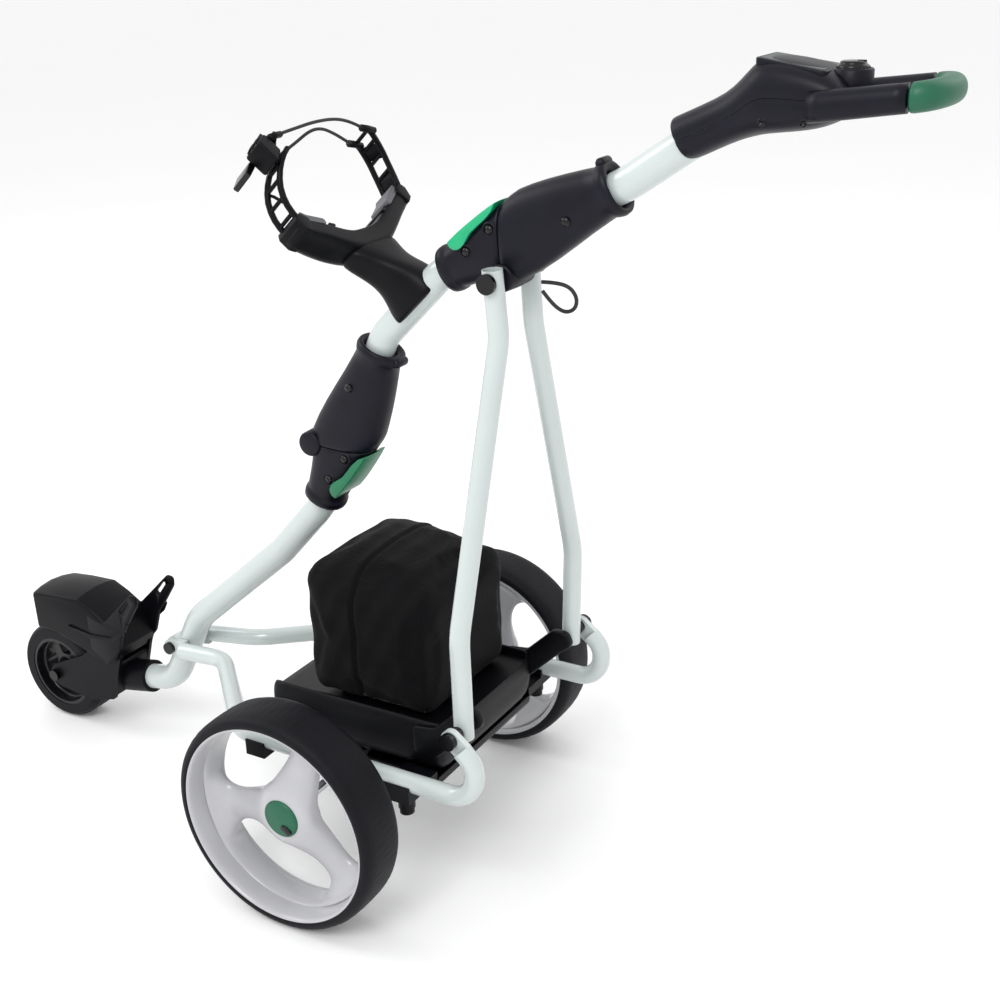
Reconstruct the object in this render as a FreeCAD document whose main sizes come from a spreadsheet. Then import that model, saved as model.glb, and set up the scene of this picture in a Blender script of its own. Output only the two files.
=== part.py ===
import FreeCAD, Part
import math
import os
import Sketcher
from FreeCAD import Placement, Rotation, Vector

# Three-wheeled electric golf trolley, unfolded.
# Frame: +X to the front wheel, +Y to the trolley's left, +Z up, millimetres.
# Origin: on the ground, at the middle of the trolley's length and width.

DIMENSIONS = {
    "rear_wheel_radius": 150.0, "rear_wheel_width": 72.0, "rear_track_outer": 291.0,
    "tyre_seat_radius": 134.7, "rear_axle_x": -12.0, "axle_radius": 6.0,
    "front_wheel_radius": 80.0, "front_wheel_width": 56.0, "front_wheel_x": 630.0,
    "front_axle_radius": 5.0,
    "main_tube_radius": 19.0, "main_tube_wall": 2.0,
    "frame_tube_radius": 12.5, "frame_tube_wall": 2.0,
    "front_pivot_x": 382.0, "front_pivot_z": 183.0,
    "lower_hinge_x": 87.0, "lower_hinge_z": 552.0,
    "upper_hinge_x": -210.0, "upper_hinge_z": 800.0,
    "strut_pivot_x": -207.0, "strut_pivot_z": 267.0,
    "pivot_pin_radius": 5.0, "running_gap": 0.05,
    "joint_half_width": 28.0, "joint_length": 247.0,
    "housing_half_width": 120.0, "housing_front_x": 118.0, "housing_rear_x": -157.0,
    "housing_bottom_z": 112.0, "tray_rim_z": 240.0, "tray_deck_z": 228.0,
    "bag_length": 190.0, "bag_width": 214.0, "bag_height": 190.0, "bag_rear_x": -131.0,
    "bag_skin": 12.0,
    "gear_module": 1.5, "gear_teeth": 36.0, "pinion_teeth": 12.0, "gear_face": 8.0,
    "hub_cap_radius": 22.0, "knob_radius": 12.0, "bungee_radius": 2.2,
    "loop_cord_radius": 2.3, "handle_loop_radius": 15.0, "handle_loop_half_width": 36.0,
}

doc = FreeCAD.newDocument("golf_trolley")
sheet = doc.addObject("Spreadsheet::Sheet", "dims")
for row, (alias, number) in enumerate(DIMENSIONS.items(), start=1):
    sheet.set("A%d" % row, alias.replace("_", " "))
    sheet.set("B%d" % row, str(number))
    sheet.setAlias("B%d" % row, alias)
doc.recompute()

parts = {}


def dim(alias):
    return float(sheet.get(alias))


def keep(obj, label):
    obj.Label = label
    parts[label] = obj
    return obj


# ---------------------------------------------------------------- sketch helpers

def new_body(label):
    body = doc.addObject("PartDesign::Body", "body_" + label)
    body.Label = label
    return body


def origin_item(body, role):
    for item in body.Origin.OriginFeatures:
        if item.Role == role:
            return item


def add_sketch(body, role, offset=0.0):
    sketch = body.newObject("Sketcher::SketchObject", "sketch")
    sketch.AttachmentSupport = [(origin_item(body, role), "")]
    sketch.MapMode = "FlatFace"
    sketch.AttachmentOffset = Placement(Vector(0, 0, offset), Rotation())
    return sketch


def rounded_edges(points, closed=True):
    """Edges of an outline whose corners (x, y, radius) are rounded."""
    corners = [(Vector(p[0], p[1], 0), p[2] if len(p) > 2 else 0.0) for p in points]
    count = len(corners)
    ends = []
    for i, (corner, radius) in enumerate(corners):
        inner = closed or 0 < i < count - 1
        if radius <= 0 or not inner:
            ends.append((corner, corner, None))
            continue
        back = (corners[i - 1][0] - corner).normalize()
        ahead = (corners[(i + 1) % count][0] - corner).normalize()
        half = back.getAngle(ahead) / 2
        reach = radius / math.tan(half)
        bisector = (back + ahead).normalize()
        centre = corner + bisector * (radius / math.sin(half))
        ends.append((corner + back * reach, corner + ahead * reach, centre - bisector * radius))
    edges = []
    for i in range(count):
        start, stop, middle = ends[i]
        if middle is not None:
            edges.append(Part.Arc(start, middle, stop))
        if closed or i < count - 1:
            following = ends[(i + 1) % count][0]
            if (following - stop).Length > 1e-6:
                edges.append(Part.LineSegment(stop, following))
    return edges


def draw_outline(sketch, points):
    for edge in rounded_edges(points):
        sketch.addGeometry(edge, False)


def draw_circle(sketch, x, y, radius, alias=None):
    index = sketch.addGeometry(Part.Circle(Vector(x, y, 0), Vector(0, 0, 1), radius), False)
    if alias:
        number = sketch.addConstraint(Sketcher.Constraint("Radius", index, radius))
        sketch.setExpression("Constraints[%d]" % number, alias)


def pad(body, sketch, length, midplane=False, backwards=False):
    feature = body.newObject("PartDesign::Pad", "pad")
    feature.Profile = sketch
    if isinstance(length, str):
        feature.setExpression("Length", length)
    else:
        feature.Length = length
    feature.Midplane = midplane
    feature.Reversed = backwards
    return feature


def pocket(body, sketch, length=None, midplane=False, backwards=False):
    before = body.Shape.Volume if body.Tip else 0
    feature = body.newObject("PartDesign::Pocket", "pocket")
    feature.Profile = sketch
    if length is None:
        feature.Type = 1
        feature.Midplane = True
    else:
        feature.Length = length
        feature.Midplane = midplane
    feature.Reversed = backwards
    doc.recompute()
    if before and body.Shape.Volume > before - 0.5:
        raise RuntimeError("a pocket in %s cuts nothing" % body.Label)
    return feature


def polar_copies(body, feature, role, count):
    pattern = body.newObject("PartDesign::PolarPattern", "pattern")
    pattern.Originals = [feature]
    pattern.Axis = (origin_item(body, role), [""])
    pattern.Angle = 360
    pattern.Occurrences = count
    body.Tip = pattern
    return pattern


def padded_part(label, role, points, length, offset=0.0, midplane=True, backwards=False):
    body = new_body(label)
    sketch = add_sketch(body, role, offset)
    draw_outline(sketch, points)
    pad(body, sketch, length, midplane, backwards)
    doc.recompute()
    return body


def turned_part(label, points, place, role="Y_Axis"):
    """Solid of revolution about the Y axis: points are (radius, y)."""
    body = new_body(label)
    sketch = add_sketch(body, "XY_Plane")
    draw_outline(sketch, points)
    feature = body.newObject("PartDesign::Revolution", "revolution")
    feature.Profile = sketch
    feature.ReferenceAxis = (origin_item(body, role), [""])
    feature.Angle = 360
    body.Placement = Placement(place, Rotation())
    doc.recompute()
    return body


# ---------------------------------------------------------------- primitives and booleans

def rod(radius, start, stop):
    """Cylinder from start to stop; radius is a number or a sheet expression."""
    cylinder = doc.addObject("Part::Cylinder", "rod")
    if isinstance(radius, str):
        cylinder.setExpression("Radius", radius)
    else:
        cylinder.Radius = radius
    axis = stop - start
    cylinder.Height = axis.Length
    cylinder.Placement = Placement(start, Rotation(Vector(0, 0, 1), axis))
    return cylinder


def cross_rod(radius, x, z, low_y, high_y):
    return rod(radius, Vector(x, low_y, z), Vector(x, high_y, z))


def box(low, high):
    block = doc.addObject("Part::Box", "block")
    block.Length = high[0] - low[0]
    block.Width = high[1] - low[1]
    block.Height = high[2] - low[2]
    block.Placement = Placement(Vector(*low), Rotation())
    return block


def fuse(*objects):
    result = doc.addObject("Part::MultiFuse", "fuse")
    result.Shapes = list(objects)
    return result


def cut(base, *tools):
    result = doc.addObject("Part::Cut", "cut")
    result.Base = base
    result.Tool = tools[0] if len(tools) == 1 else fuse(*tools)
    return result


def group(*objects):
    """Separate solids kept together in one node."""
    result = doc.addObject("Part::Compound", "group")
    result.Links = list(objects)
    return result


# ---------------------------------------------------------------- swept tubes and cords

def bend_points(route, radii):
    """Edges of a route in space: straight runs joined by tangent arcs."""
    corners = [Vector(*point) for point in route]
    ends = [(corners[0], corners[0], None)]
    for i, radius in enumerate(radii, start=1):
        back = (corners[i - 1] - corners[i]).normalize()
        ahead = (corners[i + 1] - corners[i]).normalize()
        half = back.getAngle(ahead) / 2
        reach = radius / math.tan(half)
        bisector = (back + ahead).normalize()
        middle = corners[i] + bisector * (radius / math.sin(half) - radius)
        ends.append((corners[i] + back * reach, corners[i] + ahead * reach, middle))
    ends.append((corners[-1], corners[-1], None))
    edges = []
    for i, (start, stop, middle) in enumerate(ends):
        if middle is not None:
            edges.append(Part.Arc(start, middle, stop).toShape())
        if i < len(ends) - 1 and (ends[i + 1][0] - stop).Length > 1e-6:
            edges.append(Part.LineSegment(stop, ends[i + 1][0]).toShape())
    return edges


def cord_radii(route):
    """Each arc is 0.45 of its shorter run, divided by the tangent of half the turn."""
    corners = [Vector(*point) for point in route]
    radii = []
    for i in range(1, len(corners) - 1):
        back = corners[i] - corners[i - 1]
        ahead = corners[i + 1] - corners[i]
        turn = back.getAngle(ahead)
        radii.append(0.45 * min(back.Length, ahead.Length) / math.tan(turn / 2))
    return radii


def swept(route, radii, radius):
    """Solid round bar along a route; radius is a number or a sheet expression."""
    spine = doc.addObject("Part::Feature", "spine")
    spine.Shape = Part.Wire(bend_points(route, radii))
    ring = doc.addObject("Part::Circle", "ring")
    if isinstance(radius, str):
        ring.setExpression("Radius", radius)
    else:
        ring.Radius = radius
    start = Vector(*route[0])
    ring.Placement = Placement(start, Rotation(Vector(0, 0, 1), Vector(*route[1]) - start))
    bar = doc.addObject("Part::Sweep", "sweep")
    bar.Sections = [ring]
    bar.Spine = (spine, ["Edge%d" % (i + 1) for i in range(len(spine.Shape.Edges))])
    bar.Solid = True
    bar.Frenet = False
    bar.Transition = "Transformed"
    return bar


def stretched(route, extra):
    """The same route, longer by extra at both ends, for a bore that runs right through."""
    first, second = Vector(*route[0]), Vector(*route[1])
    last, before = Vector(*route[-1]), Vector(*route[-2])
    start = first + (first - second).normalize() * extra
    stop = last + (last - before).normalize() * extra
    return [tuple(start)] + list(route[1:-1]) + [tuple(stop)]


def hollow_tube(route, radii, radius, wall):
    outside = swept(route, radii, "dims." + radius)
    inside = swept(stretched(route, 2.0), radii, "dims.%s - dims.%s" % (radius, wall))
    return cut(outside, inside)


def eye_tab(x, z, toward, length, low_y, high_y, bore):
    """Flattened tube end: a plate in the XZ plane with a round eye at (x, z)."""
    angle = math.degrees(math.atan2(toward[1], toward[0]))
    half = dim("frame_tube_radius")
    body = new_body("tab")
    sketch = add_sketch(body, "XZ_Plane", -low_y)
    top = half * 0.999
    draw_outline(sketch, [(-half, -half, top), (length, -half), (length, half), (-half, half, top)])
    pad(body, sketch, high_y - low_y, backwards=True)
    body.Placement = Placement(Vector(x, 0, z), Rotation(Vector(0, 1, 0), -angle))
    doc.recompute()
    return cut(body, cross_rod(bore, x, z, low_y - 1, high_y + 1))


# ---------------------------------------------------------------- main places

SIDES = (("left", 1), ("right", -1))
AXLE = Vector(dim("rear_axle_x"), 0, dim("rear_wheel_radius"))
FRONT_AXLE = Vector(dim("front_wheel_x"), 0, dim("front_wheel_radius"))
FRONT_PIVOT = Vector(dim("front_pivot_x"), 0, dim("front_pivot_z"))
LOWER_HINGE = Vector(dim("lower_hinge_x"), 0, dim("lower_hinge_z"))
UPPER_HINGE = Vector(dim("upper_hinge_x"), 0, dim("upper_hinge_z"))
STRUT_PIVOT = Vector(dim("strut_pivot_x"), 0, dim("strut_pivot_z"))
PIN = dim("pivot_pin_radius")
GAP = dim("running_gap")


def both_sides(make):
    return [make(sign) for name, sign in SIDES]


def span(sign, low, high):
    """Range of y on one side of the trolley, lowest first."""
    return (low, high) if sign > 0 else (-high, -low)


# ---------------------------------------------------------------- rear wheels

SPOKE_TURN = 43.0


def rear_wheel(name, sign):
    outer = dim("rear_track_outer")
    inner = outer - dim("rear_wheel_width")
    crown = dim("rear_wheel_radius")
    seat = dim("tyre_seat_radius")
    shoulder = 5.0
    tyre = [(seat, inner), (crown - shoulder, inner, 4), (crown, inner + 9, 12),
            (crown, outer - 9, 12), (crown - shoulder, outer, 4), (seat, outer)]
    keep(turned_part(name + "_tyre", [(p[0], sign * p[1]) + p[2:] for p in tyre], AXLE),
         name + "_tyre")

    barrel = 5.5
    boss = 24.0
    disc_in, disc_out, boss_out = inner + 18, outer - 29, outer - 27
    profile = [(dim("axle_radius") + GAP, inner + 4), (boss, inner + 4, 3), (boss + 6, disc_in, 6),
               (seat - barrel, disc_in, 6), (seat - barrel, inner, 1), (seat, inner), (seat, outer - 1),
               (seat - barrel, outer - 1, 2), (seat - barrel, disc_out, 6), (boss + 8, disc_out, 4),
               (boss, boss_out), (dim("axle_radius") + GAP, boss_out)]
    hub = turned_part(name + "_hub", [(p[0], sign * p[1]) + p[2:] for p in profile], AXLE)
    window = add_sketch(hub, "XZ_Plane")
    draw_outline(window, [(-76, 96, 26), (76, 96, 26), (22, 38, 18), (-22, 38, 18)])
    opening = pocket(hub, window)
    polar_copies(hub, opening, "Y_Axis", 3)
    hub.Placement = Placement(AXLE, Rotation(Vector(0, 1, 0), SPOKE_TURN))
    doc.recompute()
    keep(hub, name + "_hub")

    cap_low, cap_high = span(sign, boss_out, boss_out + 5)
    slot = (7.0, 4.0)
    catch_x, catch_z = AXLE.x - 9, AXLE.z - 8
    cap = cross_rod("dims.hub_cap_radius", AXLE.x, AXLE.z, cap_low, cap_high)
    hole = box((catch_x - slot[0], cap_low - 1, catch_z - slot[1]),
               (catch_x + slot[0], cap_high + 1, catch_z + slot[1]))
    keep(cut(cap, hole), name + "_hub_cap")
    catch_low, catch_high = span(sign, boss_out + 2.4, boss_out + 8)
    keep(box((catch_x - slot[0] + 4.3, catch_low, catch_z - slot[1] + 0.3),
             (catch_x + slot[0] - 0.3, catch_high, catch_z + slot[1] - 0.3)), name + "_release_catch")


for side_name, side in SIDES:
    rear_wheel(side_name, side)


# ---------------------------------------------------------------- front wheel

def front_wheel():
    radius = dim("front_wheel_radius")
    half = dim("front_wheel_width") / 2
    seat = 58.0
    tyre = [(seat, -half), (radius - 5, -half, 6), (radius, -half + 9, 12), (radius, half - 9, 12),
            (radius - 5, half, 6), (seat, half)]
    keep(turned_part("front_tyre", tyre, FRONT_AXLE), "front_tyre")
    bore = dim("front_axle_radius") + GAP
    profile = [(bore, -24), (15, -24, 2), (18, -10, 4), (seat - 5, -10, 4), (seat - 5, -half + 1), (seat, -half + 1),
               (seat, half - 1), (seat - 5, half - 1), (seat - 5, 10, 4), (18, 10, 4), (15, 24, 2), (bore, 24)]
    hub = turned_part("front_hub", profile, FRONT_AXLE)
    window = add_sketch(hub, "XZ_Plane")
    draw_outline(window, [(-19, 47, 9), (19, 47, 9), (8, 23, 5), (-8, 23, 5)])
    opening = pocket(hub, window)
    polar_copies(hub, opening, "Y_Axis", 5)
    keep(hub, "front_hub")
    shank = cross_rod("dims.front_axle_radius", FRONT_AXLE.x, FRONT_AXLE.z, -40, 40)
    heads = both_sides(lambda sign: cross_rod(9, FRONT_AXLE.x, FRONT_AXLE.z, *span(sign, 36.0, 43.0)))
    keep(fuse(shank, *heads), "front_axle")


front_wheel()


# ---------------------------------------------------------------- folding joints (both alike)

HINGE_ALONG = 76.0
HINGE_ACROSS = 35.0
KNUCKLE = 15.0


class FoldingJoint:
    """Local x runs from the socket's ring to the cap's ring, local z across, hinge at +z or -z."""

    def __init__(self, name, hinge, tilt, hinge_side):
        self.name = name
        self.side = hinge_side
        self.turn = Rotation(Vector(0, 1, 0), tilt)
        self.base = hinge - self.turn.multVec(Vector(HINGE_ALONG, 0, hinge_side * HINGE_ACROSS))
        self.place = Placement(self.base, self.turn)

    def outline(self, points):
        return [(p[0], self.side * p[1]) + tuple(p[2:]) for p in points]

    def at(self, along, across):
        return self.base + self.turn.multVec(Vector(along, 0, self.side * across))

    def shell(self, points, half_width):
        body = padded_part("shell", "XZ_Plane", self.outline(points), 2 * half_width)
        body.Placement = self.place
        doc.recompute()
        return body

    def bolt(self, along, across, radius, low, high):
        centre = self.at(along, across)
        return cross_rod(radius, centre.x, centre.z, low, high)


SOCKET_PROFILE = [(0, 26, 3), (0, -26, 3), (14, -28, 8), (40, -40, 30), (112, -48, 5), (77.5, 32),
                  (60, 30, 10), (14, 27, 8)]
CAP_PROFILE = [(78.5, 32), (113, -48, 4), (180, -42, 60), (240, -29, 6), (247, -30, 2), (247, 30, 2),
               (240, 29, 6), (180, 42, 60), (104, 50, 12), (82, 44)]
LEVER_PROFILE = [(14, -31, 3), (40, -41, 20), (106, -47.5, 3), (106, -38, 3), (92, -29, 8), (66, -31, 14),
                 (40, -26, 8), (18, -24, 2)]
LEVER_SWEEP = [(4, -34, 3), (40, -64, 2), (118, -64, 2), (107.5, -35.5, 3), (92, -25.5, 8), (66, -29.5, 14),
               (40, -22.5, 8), (12, -20.5, 3)]
LEVER_HALF = 17.0
LEVER_PIN = (24.0, -28.0)
SCREWS = ((48.0, -9.0), (89.0, -20.0), (184.0, 9.0))


def folding_joint(joint, socket_tube, cap_tube):
    half = dim("joint_half_width")
    centre = joint.at(HINGE_ALONG, HINGE_ACROSS)
    ear_low = 15.0
    socket_knuckles = [cross_rod(KNUCKLE, centre.x, centre.z, *span(sign, ear_low, half)) for n, sign in SIDES]
    knuckle_room = cross_rod(KNUCKLE + 1, centre.x, centre.z, -ear_low, ear_low)
    lever_body = joint.shell(LEVER_SWEEP, LEVER_HALF + 0.4)
    screw_holes = [joint.bolt(along, across, 4.5, -half - 1, half + 1) for along, across in SCREWS[:2]]
    screw_holes.append(joint.bolt(*LEVER_PIN, 2.0 + GAP, -22.5, 22.5))
    pin_hole = cross_rod(PIN, centre.x, centre.z, -half - 1, half + 1)
    socket_shell = cut(joint.shell(SOCKET_PROFILE, half), knuckle_room, lever_body, socket_tube, *screw_holes)
    keep(cut(fuse(socket_shell, *socket_knuckles), pin_hole), joint.name + "_joint_socket")

    cap_knuckle = cross_rod(KNUCKLE, centre.x, centre.z, -ear_low + 0.4, ear_low - 0.4)
    ear_rooms = [cross_rod(KNUCKLE + 1, centre.x, centre.z, *span(sign, ear_low - 0.4, half + 1))
                 for n, sign in SIDES]
    running_hole = cross_rod(PIN + GAP, centre.x, centre.z, -half - 1, half + 1)
    last_screw = joint.bolt(SCREWS[2][0], SCREWS[2][1], 4.5, -half - 1, half + 1)
    cap_shell = cut(joint.shell(CAP_PROFILE, half), cap_tube, last_screw, *ear_rooms)
    cap_pieces = [cap_shell, cap_knuckle]
    if joint.name == "upper":
        cap_pieces.append(box((-252, -10, 782), (-238, 10, 802)))
    keep(cut(fuse(*cap_pieces), running_hole), joint.name + "_joint_cap")

    lever = fuse(joint.shell(LEVER_PROFILE, LEVER_HALF), joint.bolt(*LEVER_PIN, 2.0, -22, 22))
    keep(lever, joint.name + "_latch_lever")
    keep(cross_rod("dims.pivot_pin_radius", centre.x, centre.z, -half, half), joint.name + "_hinge_pin")
    bolts = [joint.bolt(along, across, 4.5, -half - 0.8, half + 0.8) for along, across in SCREWS]
    return bolts


lower_joint = FoldingJoint("lower", LOWER_HINGE, -115.7, -1)
upper_joint = FoldingJoint("upper", UPPER_HINGE, -153.6, 1)

# ---------------------------------------------------------------- front bracket and bag rest

LOWER_TUBE_ROUTE = [(536, 0, 88), (404, 0, 113), (340, 0, 232), (172, 0, 372),
                    tuple(lower_joint.at(-15, 0)), tuple(lower_joint.at(66, 0))]
LOWER_TUBE_BENDS = [60, 90, 120, 110]
CHEEK_INNER, CHEEK_OUTER = 30.0, 36.0


def front_bracket():
    start, stop = Vector(*LOWER_TUBE_ROUTE[0]), Vector(*LOWER_TUBE_ROUTE[1])
    along = (stop - start).normalize()
    sleeve = rod(25, start - along * 8, start + along * 86)
    web = padded_part("web", "XZ_Plane", [(500, 72, 6), (532, 78, 4), (524, 128, 10), (488, 132, 6)],
                      2 * CHEEK_OUTER)
    cheeks = []
    for name, sign in SIDES:
        low, high = span(sign, CHEEK_INNER, CHEEK_OUTER)
        outline = [(506, 66, 8), (560, 52, 20), (630, 62, 17.9), (650, 80, 17.9), (630, 98, 17.9),
                   (566, 128, 20), (528, 158, 6), (480, 150, 8)]
        cheeks.append(padded_part("cheek", "XZ_Plane", outline, high - low, offset=-low,
                                  midplane=False, backwards=True))
    core = rod("dims.main_tube_radius", start - along * 0.5, start + along * 120)
    holes = cross_rod("dims.front_axle_radius", FRONT_AXLE.x, FRONT_AXLE.z, -60, 60)
    keep(cut(fuse(sleeve, web, *cheeks), core, holes), "front_bracket")


def bag_rest():
    hood = padded_part("hood", "XZ_Plane",
                       [(650, 163, 3), (652, 224, 4), (552, 232, 40), (500, 204, 25), (470, 158, 10), (505, 128, 10),
                        (565, 147, 6), (609, 158, 8)], 86)
    wheel_room = cross_rod(84, FRONT_AXLE.x, FRONT_AXLE.z, -31, 31)
    horns = []
    for name, sign in SIDES:
        low, high = span(sign, 37.0, 43.0)
        horn = padded_part("horn", "XZ_Plane",
                           [(520, 210, 4), (497, 205, 10), (437, 264, 5), (424, 262, 5), (427, 246, 8), (458, 199, 40),
                            (485, 150, 4), (520, 150, 4)],
                           high - low, offset=-low, midplane=False, backwards=True)
        slot = add_sketch(horn, "XZ_Plane", -low)
        draw_outline(slot, [(440, 249, 2), (446, 251, 2), (463, 229, 2), (457, 226, 2)])
        pocket(horn, slot)
        horns.append(horn)
    keep(cut(fuse(hood, *horns), wheel_room, parts["front_bracket"]), "bag_rest")


front_bracket()
bag_rest()


# ---------------------------------------------------------------- main tubes and joints

MID_TUBE_ROUTE = [tuple(lower_joint.at(115, 0)), tuple(lower_joint.at(262, 0)),
                  tuple(upper_joint.at(-15, 0)), tuple(upper_joint.at(66, 0))]
MID_TUBE_BENDS = [70, 70]
HANDLE_TUBE_ROUTE = [tuple(upper_joint.at(115, 0)), tuple(upper_joint.at(262, 0)), (-482, 0, 994)]
HANDLE_TUBE_BENDS = [200]


def main_tube_core(route, bends):
    return swept(route, bends, "dims.main_tube_radius")


def main_tubes():
    pivot_hole = cross_rod(PIN + GAP, FRONT_PIVOT.x, FRONT_PIVOT.z, -30, 30)
    lower = hollow_tube(LOWER_TUBE_ROUTE, LOWER_TUBE_BENDS, "main_tube_radius", "main_tube_wall")
    keep(cut(lower, pivot_hole), "lower_tube")
    mid = hollow_tube(MID_TUBE_ROUTE, MID_TUBE_BENDS, "main_tube_radius", "main_tube_wall")
    keep(mid, "mid_tube")
    handle = hollow_tube(HANDLE_TUBE_ROUTE, HANDLE_TUBE_BENDS, "main_tube_radius", "main_tube_wall")
    keep(handle, "handle_tube")
    lug = cross_rod(14, FRONT_PIVOT.x, FRONT_PIVOT.z, -18.5, 18.5)
    lug_hole = cross_rod(PIN + GAP, FRONT_PIVOT.x, FRONT_PIVOT.z, -30, 30)
    keep(cut(lug, main_tube_core(LOWER_TUBE_ROUTE, LOWER_TUBE_BENDS), lug_hole), "pivot_lug")


def joints():
    lower_bolts = folding_joint(lower_joint, main_tube_core(LOWER_TUBE_ROUTE, LOWER_TUBE_BENDS),
                                main_tube_core(MID_TUBE_ROUTE, MID_TUBE_BENDS))
    upper_bolts = folding_joint(upper_joint, main_tube_core(MID_TUBE_ROUTE, MID_TUBE_BENDS),
                                main_tube_core(HANDLE_TUBE_ROUTE, HANDLE_TUBE_BENDS))
    routes = {"lower": (LOWER_TUBE_ROUTE, LOWER_TUBE_BENDS, MID_TUBE_ROUTE, MID_TUBE_BENDS),
              "upper": (MID_TUBE_ROUTE, MID_TUBE_BENDS, HANDLE_TUBE_ROUTE, HANDLE_TUBE_BENDS)}
    socket_bolts = {}
    cap_bolts = {}
    for name, bolts in (("lower", lower_bolts), ("upper", upper_bolts)):
        entering, entering_bends, leaving, leaving_bends = routes[name]
        socket_bolts[name] = [cut(bolt, main_tube_core(entering, entering_bends)) for bolt in bolts[:2]]
        cap_bolts[name] = cut(bolts[2], main_tube_core(leaving, leaving_bends))
    keep(group(*socket_bolts["lower"]), "lower_joint_bolts")
    keep(group(cap_bolts["lower"], *socket_bolts["upper"]), "mid_joint_bolts")
    keep(cap_bolts["upper"], "handle_joint_bolt")


main_tubes()
joints()

# ---------------------------------------------------------------- struts

STRUT_TOP_Y, STRUT_FOOT_Y = 43.5, 141.0


def strut(name, sign):
    top = (UPPER_HINGE.x + 1, sign * STRUT_TOP_Y, UPPER_HINGE.z + 14)
    route = [top, (-214, sign * 41, 733), (-209, sign * 146, 392), (STRUT_PIVOT.x, sign * STRUT_FOOT_Y, 254)]
    tube = hollow_tube(route, [70, 90], "frame_tube_radius", "frame_tube_wall")
    top_hole = cross_rod(PIN, UPPER_HINGE.x, UPPER_HINGE.z, *span(sign, 20, 70))
    foot_hole = cross_rod(PIN + GAP, STRUT_PIVOT.x, STRUT_PIVOT.z, *span(sign, 110, 170))
    keep(cut(tube, top_hole, foot_hole), "strut_" + name)


for side_name, side in SIDES:
    strut(side_name, side)


def strut_knob(sign):
    x, z = UPPER_HINGE.x, UPPER_HINGE.z
    shank = cross_rod("dims.pivot_pin_radius", x, z, *span(sign, 30.5, 57))
    head = cross_rod("dims.knob_radius", x, z, *span(sign, 56.5, 62))
    return fuse(shank, head)


keep(group(*both_sides(strut_knob)), "strut_top_knobs")

# ---------------------------------------------------------------- base tubes

BASE_EYE_LOW, BASE_EYE_HIGH = 20.0, 27.0


def base_route(sign):
    return [(352, sign * 32.5, 186.5), (267, sign * 38, 196), (128, sign * 171, 187), (-237, sign * 171, 187),
            (-239, sign * 171, 238), (-222, sign * 171, 255)]


BASE_BENDS = [60, 60, 36, 30]


def base_tube(name, sign):
    tube = hollow_tube(base_route(sign), BASE_BENDS, "frame_tube_radius", "frame_tube_wall")
    eye = eye_tab(FRONT_PIVOT.x, FRONT_PIVOT.z, (-30, 3.5), 32, *span(sign, BASE_EYE_LOW, BASE_EYE_HIGH), PIN)
    plate = eye_tab(STRUT_PIVOT.x, STRUT_PIVOT.z, (-15, -12), 22, *span(sign, 166, 174), PIN)
    keep(fuse(tube, eye, plate), "base_tube_" + name)


for side_name, side in SIDES:
    base_tube(side_name, side)


def pivot_bolt(x, z, reach):
    shank = cross_rod("dims.pivot_pin_radius", x, z, -reach - 1, reach + 1)
    heads = both_sides(lambda sign: cross_rod(9, x, z, *span(sign, reach, reach + 6)))
    return fuse(shank, *heads)


keep(pivot_bolt(FRONT_PIVOT.x, FRONT_PIVOT.z, BASE_EYE_HIGH), "front_pivot_bolt")


def strut_pivot(sign):
    x, z = STRUT_PIVOT.x, STRUT_PIVOT.z
    shank = cross_rod("dims.pivot_pin_radius", x, z, *span(sign, 122, 175))
    head = cross_rod(11, x, z, *span(sign, 174.5, 182))
    washer = cross_rod(9, x, z, *span(sign, 155.5, 165.5))
    return fuse(shank, head, washer)


keep(group(*both_sides(strut_pivot)), "strut_pivot_bolts")


def tube_clamp(sign):
    saddle = box((-150, sign * 171 - 15, 163), (-102, sign * 171 + 15, 187))
    arm_low, arm_high = span(sign, dim("housing_half_width"), 160)
    arm = box((-150, arm_low, 163), (-102, arm_high, 176))
    core = swept(base_route(sign), BASE_BENDS, "dims.frame_tube_radius")
    stub = rod(11, Vector(-134, sign * 168, 166), Vector(-134, sign * 168, 148))
    return cut(fuse(saddle, arm, stub), core)


def front_clamp(sign):
    saddle = box((78, sign * 171 - 15, 165), (108, sign * 171 + 15, 187))
    arm_low, arm_high = span(sign, dim("housing_half_width"), 160)
    arm = box((78, arm_low, 165), (108, arm_high, 176))
    core = swept(base_route(sign), BASE_BENDS, "dims.frame_tube_radius")
    return cut(fuse(saddle, arm), core)


keep(group(*(both_sides(tube_clamp) + both_sides(front_clamp))), "tube_clamps")
keep(group(*both_sides(lambda sign: rod(9.5, Vector(-134, sign * 168, 148), Vector(-134, sign * 168, 140)))),
     "clamp_plugs")

# ---------------------------------------------------------------- chassis housing and drive

HOUSING_SIDE = [(-150, 148, 12), (-157, 232, 5), (-150, 240, 4), (109, 240, 4), (118, 230, 5), (112, 172, 26),
                (62, 148, 20)]
CASING_SIDE = [(-92, 176), (-92, 112, 26), (34, 112, 34), (34, 176)]
HOUSING_WALL = 3.0
SPLIT_Z = 166.0


def shrink(points, amount):
    """The outline moved inward towards its middle by about the wall thickness."""
    middle_x = (min(p[0] for p in points) + max(p[0] for p in points)) / 2
    middle_z = (min(p[1] for p in points) + max(p[1] for p in points)) / 2
    moved = []
    for p in points:
        x = p[0] - math.copysign(amount, p[0] - middle_x)
        z = p[1] - math.copysign(amount, p[1] - middle_z)
        moved.append((x, z) + tuple(p[2:]))
    return moved


def housing_solid(inset):
    half = dim("housing_half_width") - inset
    tray = padded_part("tray", "XZ_Plane", shrink(HOUSING_SIDE, inset), 2 * half)
    casing = padded_part("casing", "XZ_Plane", shrink(CASING_SIDE, inset), 170 - 2 * inset)
    return fuse(tray, casing)


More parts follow.
